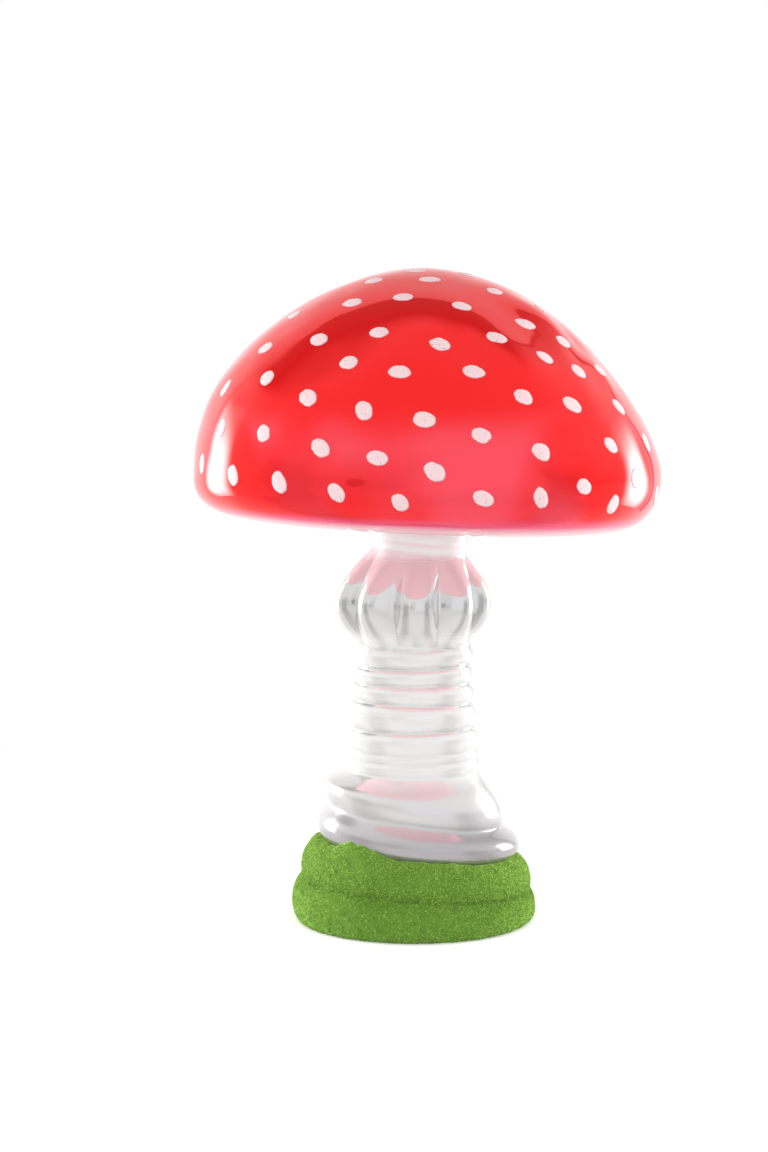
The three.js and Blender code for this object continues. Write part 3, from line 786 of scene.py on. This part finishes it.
        # The room is paler higher up, and never even
        patches = node("TexNoise", {"Vector": way, **self.ROOM_PATCHES})
        level = node("Math", {0: patches, 1: node("SeparateXYZ", {0: way}, "Z")}, operation="ADD")
        high = node("MapRange", {"Value": level, **self.ROOM_LEVELS}, interpolation_type="SMOOTHSTEP")
        rooms = {"Factor": high, 6: settings.low_room, 7: settings.high_room}
        walls = node("Mix", rooms, 2, data_type="RGBA")
        layers = (
            (self.FLOOR, settings.floor),
            (self.OVERHEAD, settings.overhead),
            (self.FRAME, settings.overhead),
            (self.PAPER, lay_over(node, way, WHITE, [(self.PAPER_TOP, settings.high_paper)])),
            (self.FLAGS, settings.flags),
            (self.PANEL, settings.panel),
            (self.DARK_SPOT, settings.dark_spot),
        )
        walls = lay_over(node, way, walls, layers)
        lamps = ((self.FRONT_LIGHT, settings.soft_light), (self.SIDE_LIGHT, settings.side_light))
        lamps = [(edges, (level, level, level)) for edges, level in lamps]
        light = lay_over(node, way, settings.back_light, lamps)
        camera, mirrored = self.rays(node)
        for share, seen in ((mirrored, walls), (camera, WHITE)):
            light = node("Mix", {"Factor": share, 6: light, 7: seen}, 2, data_type="RGBA")
        node("OutputWorld", {"Surface": node("Background", {"Color": light})})


class MUSHROOM_OT_stem(bpy.types.Operator):
    """Work the silver stem: foot, rolls, ringed tube, lobed knop, neck and spigot in one blown wall"""

    bl_idname = "mushroom.stem"
    bl_label = "Silver stem"

    COLUMNS = 216
    STEP = mm(0.3)
    HIDDEN_STEP = mm(1.5)
    # Steps on each roll, before its outline is set to an even step
    FOOT_STEPS = 8
    SILVER_STEPS = 30
    TUBE_STEPS = 24
    KNOP_STEPS = 40
    NECK_STEPS = 16
    BORE_STEPS = 8
    RIPPLE_CELL = mm(9)
    RIPPLE_SEED = 3
    VALLEY_SOFTNESS = 0.01
    # Half of the power to which a cosine rounds the lobes
    LOBE_POWER = 0.46
    # The film at the crests of both silver rolls, under the tube, at its foot, over its top, on the knop's
    # belly, under the neck and on it
    FILMS = {
        "milk": (0.3, 0.36, 0.34, 0.57, 0.5, 0.05, 0.05, 0.85),
        "blur": (0.18, 0.2, 0.2, 0.14, 0.12, 0.1, 0.1, 0.15),
        # Share of the silver that is free of the painted shade near the foot
        "unshaded": (0.0, 0.7, 0.8, 1.0, 1.0, 1.0, 1.0, 1.0),
    }
    # How far that is under the tube, over its top for both places there, and under the neck
    FILM_STEPS = (mm(4), mm(2), mm(6), mm(3))
    # How far round the milky film ends, as cosines from the front, and the least of it behind
    MILK_END = (-0.2, 0.6)
    LEAST_MILK = 0.2
    # Depth at which a groove of the tube is wholly clean, and the share of the milk that it has lost there
    CLEAN_DEPTH = mm(1.1)
    CLEAN_SHARE = 0.6

    def execute(self, context):
        settings = context.scene.mushroom_stem
        wall, hole = settings.wall, mm(BLOW_HOLE_RADIUS)
        flat = (mm(FOOT_FLAT_RADIUS), FOOT_Z)
        foot = [(hole, FOOT_Z), flat, *roll_outline(foot_rolls, flat, self.FOOT_STEPS)]
        foot = resample(np.array(foot), self.HIDDEN_STEP)[:-1]
        shown = [
            [top_of(foot_rolls[-1])],
            roll_outline(silver_rolls, top_of(foot_rolls[-1]), self.SILVER_STEPS, SLOPE_KEEPS),
            roll_outline(tube_rings, top_of(silver_rolls[-1]), self.TUBE_STEPS),
            knop_outline(self.KNOP_STEPS),
            roll_outline(neck_rings, top_of(knop), self.NECK_STEPS),
        ]
        shown = soften(np.concatenate(shown), self.STEP, settings.groove)
        bore = resample(self.bore(wall), self.HIDDEN_STEP)
        lip_top = FOOT_Z + wall + mm(BLOW_HOLE_LIP)
        lip = [(hole + wall, FOOT_Z + wall), (hole + wall, lip_top), (hole, lip_top)]
        outline = np.concatenate([foot, shown, SPIGOT, bore, lip])
        grid = lean_stem(self.pinch(lathe(outline, self.COLUMNS), settings))
        worked = grid[len(foot) : len(foot) + len(shown)]
        roughen(worked, settings.ripple, self.RIPPLE_CELL, self.RIPPLE_SEED)
        faces = grid_faces(len(outline), self.COLUMNS, closed=True)
        glass = new_material(silvered_blown_glass, settings)
        self.film(add_piece("silver_stem", grid, faces, glass, "silvered_glass", "stem_glass"))
        return {"FINISHED"}

    def film(self, stem):
        """How milky the silver is at each point, how much it blurs what it mirrors, and how much painted
        shade darkens it towards the foot
        """
        x, y, z = points_of(stem).T
        lower, upper = (roll.crest_z for roll in silver_rolls)
        tube, top, neck = (roll.groove_z for roll in (silver_rolls[-1], tube_rings[-1], knop))
        under, over, belly, below = self.FILM_STEPS
        heights = (lower, upper, tube - under, tube, top + over, top + belly, neck - below, neck)
        # The milk was swilled along one side, and leaves the back of the tube a mirror
        wet = smooth_step(facing(x, y), *self.MILK_END)
        # It also ran out of the tube's grooves, so these mirror more
        crests, radii, sways = zip(*((ring.crest_z, ring.crest, ring.sway) for ring in tube_rings))
        depth = np.interp(z, crests, radii) - np.hypot(x - np.interp(z, crests, sways), y)
        clean = self.CLEAN_SHARE * smooth_step(depth, 0, self.CLEAN_DEPTH) * (z < knop.crest_z)
        for name, levels in self.FILMS.items():
            film = ease_between(heights, levels, z)
            if name == "milk":
                film = np.minimum(film, self.LEAST_MILK + film * wet) * (1 - clean)
            add_layer(stem, name, film)

    def bore(self, wall):
        """Inside of the stem, one wall in from the outside, from the spigot down to the foot's floor"""
        inside = [(mm(FOOT_FLAT_RADIUS), FOOT_Z + wall)]
        for roll in foot_rolls + silver_rolls:
            inside += [(roll.crest, roll.crest_z), top_of(roll)]
        inside += [*knop_outline(self.BORE_STEPS), (mm(NECK_RADIUS), SEAT_Z - wall), *SPIGOT]
        return np.array(inside[::-1]) - (wall, 0)

    def pinch(self, grid, settings):
        """Draws the valleys between the knop's lobes in, fading into the neck and the tube"""
        x, y, z = np.moveaxis(grid, -1, 0)
        angle = np.arctan2(x, -y) - math.radians(LOBE_FRONT)
        wave = (np.cos(settings.lobes / 2 * angle) ** 2 + self.VALLEY_SOFTNESS) ** self.LOBE_POWER
        # The valleys run nearly straight from the tube to the neck, so that the lobes stand out as balls
        radii, heights = zip(top_of(tube_rings[-1]), top_of(knop))
        straight = np.interp(z, heights, radii)
        radius = np.hypot(x, y)
        swell = np.clip(radius - straight, 0, None) / (knop.crest - np.interp(knop.crest_z, heights, radii))
        swell[(z < heights[0]) | (z > heights[1])] = 0
        share = 1 - settings.lobe_depth * (1 - wave) * swell / np.maximum(radius, LEAST_RADIUS)
        return np.stack([x * share, y * share, z], axis=-1)


class MUSHROOM_OT_cap(bpy.types.Operator):
    """Blow the red cap: dome, rolled rim and underside in one wall, turned in at a collar"""

    bl_idname = "mushroom.cap"
    bl_label = "Red cap"

    COLUMNS = 320
    STEP = mm(0.75)
    HIDDEN_STEP = mm(3)
    # Steps on the dome and on the rim, before their outline is set to an even step
    SKIN_STEPS = (120, 40)
    INSIDE_STEPS = (40, 12)
    SOFTNESS = mm(1.6)
    RIPPLE_CELL = mm(21)
    RIPPLE_SEED = 11
    WOBBLE_CELL = mm(9)
    WOBBLE_SEED = 12
    COLLAR_FILLET = mm(1)
    # Heights over the underside between which the lacquer thins out
    LACQUER_END = (mm(4.5), mm(0.3))
    # Heights between which the rosy clouds fade in, partly thinner lacquer and partly painted light from
    # the white table, and the size and stir of the clouds
    CLOUDS_END = (mm(30), mm(20))
    CLOUD_CELL = mm(24)
    CLOUD_SEED = 30
    CLOUD_STIR = mm(14)
    STIR_SEEDS = (29, 30, 31)
    # Share of clouds everywhere, added to it in front as painted light from the white table, and given or
    # taken by the noise
    CLOUD_SHARES = (0.1, 0.4, 1.6)

    def execute(self, context):
        settings = context.scene.mushroom_cap
        skin = self.skin(settings)
        wall, bore = settings.wall, COLLAR_BORE
        collar_top = UNDERSIDE_Z + mm(COLLAR_LENGTH)
        collar = [
            (bore + wall, UNDERSIDE_Z + wall),
            (bore + wall, collar_top),
            (bore, collar_top),
            (bore, UNDERSIDE_Z + self.COLLAR_FILLET),
        ]
        inside = resample(cap_outline(settings, wall, *self.INSIDE_STEPS), self.HIDDEN_STEP)
        outline = np.concatenate([inside, collar, skin])
        grid = lean_cap(lathe(outline, self.COLUMNS), settings, outline[:, 0])
        worked = grid[-len(skin) :]
        worked += outward(worked) * self.unevenness(worked, settings)[..., None]
        faces = grid_faces(len(outline), self.COLUMNS, closed=False)
        glass = new_material(red_lacquered_silvered_glass, settings)
        cap = add_piece("red_cap", grid, faces, glass, "red_silvered_glass", "cap_glass")
        self.lacquer(cap, settings)
        return {"FINISHED"}

    def skin(self, settings):
        """Outside of the cap from the collar's fillet out to the rim and up to the crown"""
        half = cap_outline(settings, 0, *self.SKIN_STEPS)
        mirrored = half[:0:-1] * (-1, 1)
        soft = soften(np.concatenate([mirrored, half]), self.STEP, self.SOFTNESS)
        half = soft[len(soft) // 2 :]
        half[0] = (0, half[0][1])
        fillet = (COLLAR_BORE + self.COLLAR_FILLET, UNDERSIDE_Z)
        underside = resample(np.array([half[-1], fillet]), 2 * self.STEP)[1:]
        return np.concatenate([half, underside])[::-1]

    def unevenness(self, grid, settings):
        """How far the blown wall swells or dents at each point, fading out to the underside"""
        x, y, z = np.moveaxis(grid, -1, 0)
        swell = settings.ripple * cloud(grid, self.RIPPLE_CELL, self.RIPPLE_SEED)
        swell += settings.wobble * cloud(grid, self.WOBBLE_CELL, self.WOBBLE_SEED)
        angle = np.degrees(np.arctan2(x, -y))
        for round_from_front, height, spread, depth in CAP_DENTS:
            gap = np.radians((angle - round_from_front + 180) % 360 - 180) * np.hypot(x, y)
            near = (gap**2 + (z - mm(height)) ** 2) / mm(spread) ** 2
            swell -= mm(depth) * np.exp(-near)
        return swell * smooth_step(z - UNDERSIDE_Z, 0, settings.rim)

    def lacquer(self, cap, settings):
        """Share of lacquer over the silver at each point, thin under the cap, and of its rosy clouds,
        partly thin lacquer and partly painted light in front
        """
        points = points_of(cap)
        x, y, z = points.T
        height = z + cap_lean(settings, x, z) - UNDERSIDE_Z
        add_layer(cap, "lacquer", 1 - smooth_step(height, *self.LACQUER_END))
        stir = np.stack([cloud(points, self.CLOUD_CELL, seed) for seed in self.STIR_SEEDS], axis=-1)
        swirl = cloud(points + self.CLOUD_STIR * stir, self.CLOUD_CELL, self.CLOUD_SEED)
        least, front_painted_light, swing = self.CLOUD_SHARES
        clouds = smooth_step(least + front_painted_light * facing(x, y) + swing * swirl)
        add_layer(cap, "clouds", clouds * smooth_step(height, *self.CLOUDS_END))


def oval_shares(steps, power):
    """Part of a squared or drawn-in ellipse, as shares of its two half-widths, over a quarter turn"""
    turns = np.linspace(0, np.pi / 2, steps + 1)
    shares = np.stack([np.sin(turns), np.cos(turns)], axis=-1)
    return np.clip(shares, 0, 1) ** (2 / power)


def widest_z(settings):
    """Height of the cap's widest place"""
    return UNDERSIDE_Z - mm(UNDERSIDE_HOLLOW) + settings.rim


def cap_outline(settings, inset, dome_steps, rim_steps):
    """Dome and rim from the crown down to the underside, or their inside when inset by the wall"""
    widest = widest_z(settings)
    dome_shares = oval_shares(dome_steps, settings.dome_power)
    dome = (0, widest) + dome_shares * (settings.radius - inset, settings.dome - inset)
    rim_shares = oval_shares(rim_steps, settings.rim_power)[1:, ::-1]
    rim_middle = (settings.radius - settings.rim_width, widest)
    rim = rim_middle + rim_shares * (settings.rim_width - inset, inset - settings.rim)
    return np.concatenate([dome, rim])


def cap_lean(settings, x, z):
    """How far the tilt on the neck lowers a point of the cap, most at the underside, none over the rim"""
    tilted = np.clip((widest_z(settings) - z) / settings.rim, 0, 1)
    return math.tan(math.radians(CAP_TILT)) * tilted * x


def dome_sway(share):
    """How far the dome's axis sways at a share of its height"""
    return mm(1) * ease_between(*DOME_SWAY, np.clip(share, 0, 1))


def lean_cap(grid, settings, radius):
    """Tilts the cap on the neck and sways its dome over its rim"""
    x, y, z = np.moveaxis(grid, -1, 0)
    share = (z - widest_z(settings)) / settings.dome
    neck_share = 1 - (radius[:, None] / settings.radius) ** 2
    sway = np.where(share >= 0, dome_sway(share), mm(NECK_SWAY) * neck_share)
    return np.stack([x + sway, y, z - cap_lean(settings, x, z)], axis=-1)


class MUSHROOM_OT_dots(bpy.types.Operator):
    """Dab the white dots on the cap, where the solids are in front and turned half round behind"""

    bl_idname = "mushroom.dots"
    bl_label = "White dots"

    SEGMENTS = 40
    RINGS = 9
    SEED = 5
    # Steps on the dome and on the rim of the outline that places the dots at the sides, and its even step
    OUTLINE_STEPS = (60, 30)
    OUTLINE_STEP = mm(1)
    # Shares of the usual length and width between which a dab varies
    SPREAD = (0.9, 1.08)
    # Waves of the ragged edge, as swing and frequency, and the share of the height that grit gives or takes
    RAGGED = ((0.1, 1.3), (0.05, 5.0))
    GRIT_SHARE = 0.3
    # Power to which the dab is flat on top
    CROWN_POWER = 3
    # How far over the glass the search for it starts, and how far the dab reaches into it
    SEARCH = mm(3)
    SUNK = mm(0.05)

    def execute(self, context):
        settings = context.scene.mushroom_dots
        cap = bpy.data.objects["red_cap"]
        tree = BVHTree.FromObject(cap, context.evaluated_depsgraph_get())
        paint = new_material(granular_white_paint, settings)
        draw = random.Random(self.SEED)
        nodes = sorted(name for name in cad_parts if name.startswith("cap_dot_"))
        for number, node in enumerate(nodes, 1):
            middle, along = self.solid_place(node)
            self.dab(tree, f"white_dot_{number:02d}", middle, along, settings, paint, draw, node)
        cap_settings = context.scene.mushroom_cap
        behind = [self.half_turn(*self.solid_place(node), cap_settings) for node in nodes]
        behind += [self.side_place(cap_settings, *place) for place in SIDE_DOTS]
        for number, (middle, along) in enumerate(behind, 1):
            self.dab(tree, f"back_dot_{number:02d}", middle, along, settings, paint, draw)
        return {"FINISHED"}

    def solid_place(self, node):
        """Middle and long axis of a dot's solid"""
        points = points_of(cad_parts[node])
        middle = (points.min(0) + points.max(0)) / 2
        axes = np.linalg.svd(points - points.mean(0))[2]
        return Vector(middle), Vector(axes[0])

    def half_turn(self, middle, along, cap_settings):
        """A place in front carried half round the axis of the swaying dome"""
        sway = float(dome_sway((middle.z - widest_z(cap_settings)) / cap_settings.dome))
        return Vector((2 * sway - middle.x, -middle.y, middle.z)), Vector((-along.x, -along.y, along.z))

    def side_place(self, cap_settings, degrees, hundredths):
        """Place on the outline at an angle from the front, with a level long axis"""
        outline = resample(cap_outline(cap_settings, 0, *self.OUTLINE_STEPS), self.OUTLINE_STEP)
        radius, height = outline[round((len(outline) - 1) * hundredths / 100)]
        angle = math.radians(degrees)
        return Vector((radius * math.sin(angle), -radius * math.cos(angle), height)), Vector((0, 1, 0))

    def dab(self, tree, name, middle, along, settings, paint, draw, *nodes):
        """One dab: an oval, ragged lens that lies on the curve of the glass"""
        middle, normal, _, _ = tree.find_nearest(middle)
        along = (along - normal * along.dot(normal)).normalized()
        across = normal.cross(along)
        length = settings.length / 2 * draw.uniform(*self.SPREAD)
        width = settings.width / 2 * draw.uniform(*self.SPREAD)
        shift = Vector((draw.uniform(0, 100), draw.uniform(0, 100), 0))
        points = []
        for ring in range(self.RINGS, -1, -1):
            share = ring / self.RINGS
            crown = (1 - share**self.CROWN_POWER) ** 0.5
            for step in range(self.SEGMENTS):
                turn = 2 * math.pi * step / self.SEGMENTS
                spoke = Vector((math.cos(turn), math.sin(turn), 0))
                ragged = 1 + sum(swing * noise.noise(spoke * count + shift) for swing, count in self.RAGGED)
                reach = share * ragged
                place = along * (length * reach * spoke.x) + across * (width * reach * spoke.y)
                hit = tree.ray_cast(middle + place + normal * self.SEARCH, -normal)[0]
                grit = noise.noise((middle + place) / settings.grain)
                points.append(hit + normal * (settings.height * crown * (1 + self.GRIT_SHARE * grit)))
        under = [point - normal * self.SUNK for point in points[: self.SEGMENTS]]
        faces = [list(face) for face in grid_faces(self.RINGS + 2, self.SEGMENTS, closed=False)]
        faces.append(list(range(self.SEGMENTS))[::-1])
        dot = add_piece(name, [*under, *points], faces, paint, "white_dot_paint", *nodes)
        # The outer ring and the ring sunk under it carry the painted edge shade
        add_layer(dot, "edge", np.arange(len(dot.data.vertices)) < 2 * self.SEGMENTS)


class MUSHROOM_OT_moss(bpy.types.Operator):
    """Coat the foot with moss: a glued shell of flock with loose grains standing on it"""

    bl_idname = "mushroom.moss"
    bl_label = "Moss coat"

    COLUMNS = 300
    OUTER_STEPS = 22
    INNER_STEPS = 8
    CLEAR = mm(0.05)
    # Turns of the outline where the coat leaves the upper foot roll, and where it ends on the silver roll
    LEAVES = math.radians(140)
    LAPS = math.radians(32)
    # Waves of its upper edge: how many go round, their swing in degrees and where they start
    LAP_WAVES = ((3, 6.0, 1.0), (7, 5.0, 0.0), (16, 4.0, 2.0), (41, 3.0, 0.5))
    # It climbs higher in one place: degrees round from the front, spread and climb
    CLIMB = (-38.0, 18.0, 52.0)
    LUMP_CELL = mm(2.5)
    LUMP_SEED = 5
    LUMP = mm(0.12)
    # Rounds of smoothing, as flock and glue fill the grooves
    FILLING = 14
    # Rows of the grid over which the painted shade in the groove fades out, and the size, mean and swing of
    # its uneven places
    GROOVE_SHADE_ROWS = 8
    GROOVE_SHADE_CELL = mm(14)
    GROOVE_SHADE_SEED = 7
    GROOVE_SHADE_SHARES = (0.7, 0.8)
    # Loose grains: their lean, the spread of their lengths and widths, and the share that is in the glue
    GRAIN_SEED = 8
    GRAIN_LEAN = 0.6
    GRAIN_LENGTHS = (0.6, 1.1)
    GRAIN_WIDTHS = (0.26, 0.42)
    GRAIN_SUNK = 0.3
    GRAIN_CORNERS = (0, 2.1, 4.2)

    def execute(self, context):
        settings = context.scene.mushroom_moss
        laps = self.laps(np.arange(self.COLUMNS) * (2 * np.pi / self.COLUMNS))
        outer = self.outer(settings, laps)
        hole = mm(MOSS_HOLE_RADIUS)
        foot, inside = (np.tile((hole, height), (1, self.COLUMNS, 1)) for height in (0, settings.coat))
        outline = np.concatenate([foot, outer, self.inner(laps)[-2::-1], inside])
        grid = lean_stem(lathe(outline, self.COLUMNS))
        shell = grid[2 : len(outer)]
        normals = roughen(shell, self.LUMP, self.LUMP_CELL, self.LUMP_SEED)
        grid[..., 2] = np.maximum(grid[..., 2], 0)
        faces = grid_faces(len(outline), self.COLUMNS, closed=True).tolist()
        hollow = np.zeros(grid.shape[:2])
        hollow[2 : len(outer)] = self.hollow(shell)
        grains, grain_faces, grain_groove_shade = self.grains(shell, normals, hollow[2 : len(outer)], settings)
        faces += (grain_faces + grid.size // 3).tolist()
        points = np.concatenate([grid.reshape(-1, 3), grains])
        flock = new_material(green_moss_flock, settings)
        moss = add_piece("moss", points, faces, flock, "moss_flock", "moss_coat")
        # The groove's painted shade, for the flock to read
        add_layer(moss, "hollow", np.concatenate([hollow.ravel(), grain_groove_shade]))
        return {"FINISHED"}

    def hollow(self, shell):
        """How much painted shade each point gets for lying in the groove between the two foot rolls, uneven
        along it
        """
        rows = np.arange(len(shell))[:, None] + 1 - self.OUTER_STEPS
        mean, swing = self.GROOVE_SHADE_SHARES
        uneven = np.clip(mean + swing * cloud(shell, self.GROOVE_SHADE_CELL, self.GROOVE_SHADE_SEED), 0, 1)
        return np.exp(-((rows / self.GROOVE_SHADE_ROWS) ** 2)) * uneven

    def laps(self, angles):
        """Turn of the silver roll's outline where the coat ends, wandering round the foot"""
        middle, spread, climb = np.radians(self.CLIMB)
        away = (angles - middle + np.pi) % (2 * np.pi) - np.pi
        turns = self.LAPS + climb * np.exp(-((away / spread) ** 2))
        for count, swing, start in self.LAP_WAVES:
            turns += math.radians(swing) * np.sin(count * angles + start)
        return turns

    def shares(self, steps):
        """Shares of the way along an outline, in as many columns as the coat has"""
        return np.linspace(0, 1, steps + 1)[1:, None] * np.ones(self.COLUMNS)

    def outer(self, settings, laps):
        """Outside of the coat: over both foot rolls, then across the groove to the silver roll"""
        growth = mm(FIT_GAP) + settings.coat
        flat = (mm(FOOT_FLAT_RADIUS) + growth, FOOT_Z - growth)
        lower, upper = (roll._replace(crest=roll.crest + growth) for roll in foot_rolls)
        lower = lower._replace(groove=lower.groove + growth)
        upper = upper._replace(groove=upper.groove + growth / 2)
        shares = self.shares(self.OUTER_STEPS)
        lower_arc = roll_arc(lower, flat, np.pi * shares)
        upper_arc = roll_arc(upper, top_of(lower), self.LEAVES * shares)
        ends = roll_arc(silver_rolls[0], top_of(foot_rolls[-1]), laps)
        share = np.linspace(0, 1, self.INNER_STEPS + 1)[1:, None, None]
        across = upper_arc[-1] + (ends - upper_arc[-1]) * share
        across[..., 0] += growth / 2 * np.sin(np.pi * share[..., 0])
        outer = np.concatenate([np.tile(flat, (1, self.COLUMNS, 1)), lower_arc, upper_arc, across])
        for _ in range(self.FILLING):
            blur_rows(outer)
        return outer

    def inner(self, laps):
        """Inside of the coat, just clear of the glass"""
        below = (mm(FOOT_FLAT_RADIUS) + self.CLEAR, FOOT_Z - self.CLEAR)
        arcs = [np.tile(below, (1, self.COLUMNS, 1))]
        for roll, turns in ((foot_rolls[0], np.pi), (foot_rolls[1], np.pi), (silver_rolls[0], laps)):
            clear = roll._replace(crest=roll.crest + self.CLEAR)
            arcs.append(roll_arc(clear, below, self.shares(self.INNER_STEPS) * turns))
            below = top_of(roll)
        return np.concatenate(arcs)

    def grains(self, shell, normals, hollow, settings):
        """Loose grains of flock, each a small leaning spike, and how much painted groove shade each gets"""
        draw = np.random.default_rng(self.GRAIN_SEED)
        count, (rows, columns) = settings.grains, shell.shape[:2]
        row = draw.integers(0, rows - 1, count)
        column = draw.integers(0, columns, count)
        up, on = draw.random((2, count, 1))
        here = shell[row, column]
        above, beside = shell[row + 1, column], shell[row, (column + 1) % columns]
        foot = here + (above - here) * up + (beside - here) * on
        along = normals[row, column] + draw.normal(0, self.GRAIN_LEAN, (count, 3))
        along /= np.linalg.norm(along, axis=-1, keepdims=True)
        side = np.cross(along, draw.normal(0, 1, (count, 3)))
        side /= np.linalg.norm(side, axis=-1, keepdims=True)
        other = np.cross(along, side)
        length = settings.grain * draw.uniform(*self.GRAIN_LENGTHS, (count, 1))
        width = settings.grain * draw.uniform(*self.GRAIN_WIDTHS, (count, 1))
        low = foot - along * (self.GRAIN_SUNK * length)
        corners = [low + width * (math.cos(t) * side + math.sin(t) * other) for t in self.GRAIN_CORNERS]
        points = np.stack([*corners, foot + along * ((1 - self.GRAIN_SUNK) * length)], axis=1)
        points[..., 2] = np.maximum(points[..., 2], 0)
        start = 4 * np.arange(count)[:, None, None]
        faces = start + np.array([(0, 2, 1), (0, 1, 3), (1, 2, 3), (2, 0, 3)])
        return points.reshape(-1, 3), faces.reshape(-1, 3), np.repeat(hollow[row, column], 4)


class MUSHROOM_OT_cement(bpy.types.Operator):
    """Run the bead of cement between the neck and the cap"""

    bl_idname = "mushroom.cement"
    bl_label = "Cement bead"

    COLUMNS = 96
    STEPS = 16
    BULGE = mm(0.4)
    LUMP_CELL = mm(4)
    LUMP_SEED = 2
    LUMP = mm(0.12)

    def execute(self, context):
        settings = context.scene.mushroom_joint
        bottom = SEAT_Z + mm(FIT_GAP)
        top = bottom + mm(CEMENT_BEAD)
        turns = np.linspace(0, np.pi, self.STEPS + 1)
        radii = mm(NECK_RADIUS) + self.BULGE * np.sin(turns)
        bead = np.stack([radii, bottom + (top - bottom) * (1 - np.cos(turns)) / 2], axis=-1)
        inner = SPIGOT_RADIUS + mm(FIT_GAP)
        outline = np.concatenate([[(inner, bottom)], bead, [(inner, top)]])
        grid = lean_stem(lathe(outline, self.COLUMNS))
        roughen(grid[2:-2], self.LUMP, self.LUMP_CELL, self.LUMP_SEED)
        faces = grid_faces(len(outline), self.COLUMNS, closed=True)
        cement = new_material(epoxy_cement, settings)
        add_piece("cement_bead", grid, faces, cement, "cement", "neck_cement")
        return {"FINISHED"}


class MUSHROOM_OT_cork(bpy.types.Operator):
    """Press the cork stopper into the blow hole under the foot"""

    bl_idname = "mushroom.cork"
    bl_label = "Cork stopper"

    COLUMNS = 96
    STEP = mm(0.4)
    CHAMFER = mm(0.6)
    TAPER = mm(0.4)
    PIT_CELL = mm(1.1)
    PIT_SEED = 4
    PIT = mm(0.1)

    def execute(self, context):
        settings = context.scene.mushroom_joint
        low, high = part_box("blow_hole_plug")
        radius = mm(BLOW_HOLE_RADIUS - FIT_GAP)
        sides = [
            (0, low.z),
            (radius - self.CHAMFER, low.z),
            (radius, low.z + self.CHAMFER),
            (radius - self.TAPER, high.z - self.CHAMFER),
            (radius - self.TAPER - self.CHAMFER, high.z),
            (0, high.z),
        ]
        outline = resample(np.array(sides), self.STEP)
        grid = lean_stem(lathe(outline, self.COLUMNS))
        worked = grid[1:-1]
        pits = self.PIT * np.abs(cloud(worked, self.PIT_CELL, self.PIT_SEED))
        worked -= outward(worked) * pits[..., None]
        faces = grid_faces(len(outline), self.COLUMNS, closed=False)
        cork = new_material(pressed_cork, settings)
        add_piece("cork_stopper", grid, faces, cork, "cork", "blow_hole_plug")
        return {"FINISHED"}


PIECES = (
    MUSHROOM_OT_stage,
    MUSHROOM_OT_stem,
    MUSHROOM_OT_cap,
    MUSHROOM_OT_dots,
    MUSHROOM_OT_moss,
    MUSHROOM_OT_cement,
    MUSHROOM_OT_cork,
)
SETTINGS = {
    "mushroom_stem": StemSettings,
    "mushroom_cap": CapSettings,
    "mushroom_dots": DotSettings,
    "mushroom_moss": MossSettings,
    "mushroom_joint": JointSettings,
    "mushroom_stage": StageSettings,
}


class MUSHROOM_PT_pieces(bpy.types.Panel):
    """Sidebar list of the mushroom's pieces"""

    bl_idname = "MUSHROOM_PT_pieces"
    bl_label = "Glass mushroom"
    bl_space_type = "VIEW_3D"
    bl_region_type = "UI"
    bl_category = "Mushroom"

    def draw(self, context):
        for piece in PIECES:
            self.layout.operator(piece.bl_idname, text=piece.bl_label)
        for name, group in SETTINGS.items():
            box = self.layout.box()
            for key in group.__annotations__:
                box.prop(getattr(context.scene, name), key)


def register():
    for group in SETTINGS.values():
        bpy.utils.register_class(group)
    for name, group in SETTINGS.items():
        setattr(bpy.types.Scene, name, PointerProperty(type=group))
    for tool in (*PIECES, MUSHROOM_PT_pieces):
        bpy.utils.register_class(tool)


def unregister():
    for tool in (MUSHROOM_PT_pieces, *reversed(PIECES)):
        bpy.utils.unregister_class(tool)
    for name, group in SETTINGS.items():
        delattr(bpy.types.Scene, name)
        bpy.utils.unregister_class(group)


def main():
    register()
    bpy.ops.mushroom.stage()
    bpy.ops.mushroom.stem()
    bpy.ops.mushroom.cap()
    bpy.ops.mushroom.dots()
    bpy.ops.mushroom.moss()
    bpy.ops.mushroom.cement()
    bpy.ops.mushroom.cork()


if __name__ == "__main__":
    main()
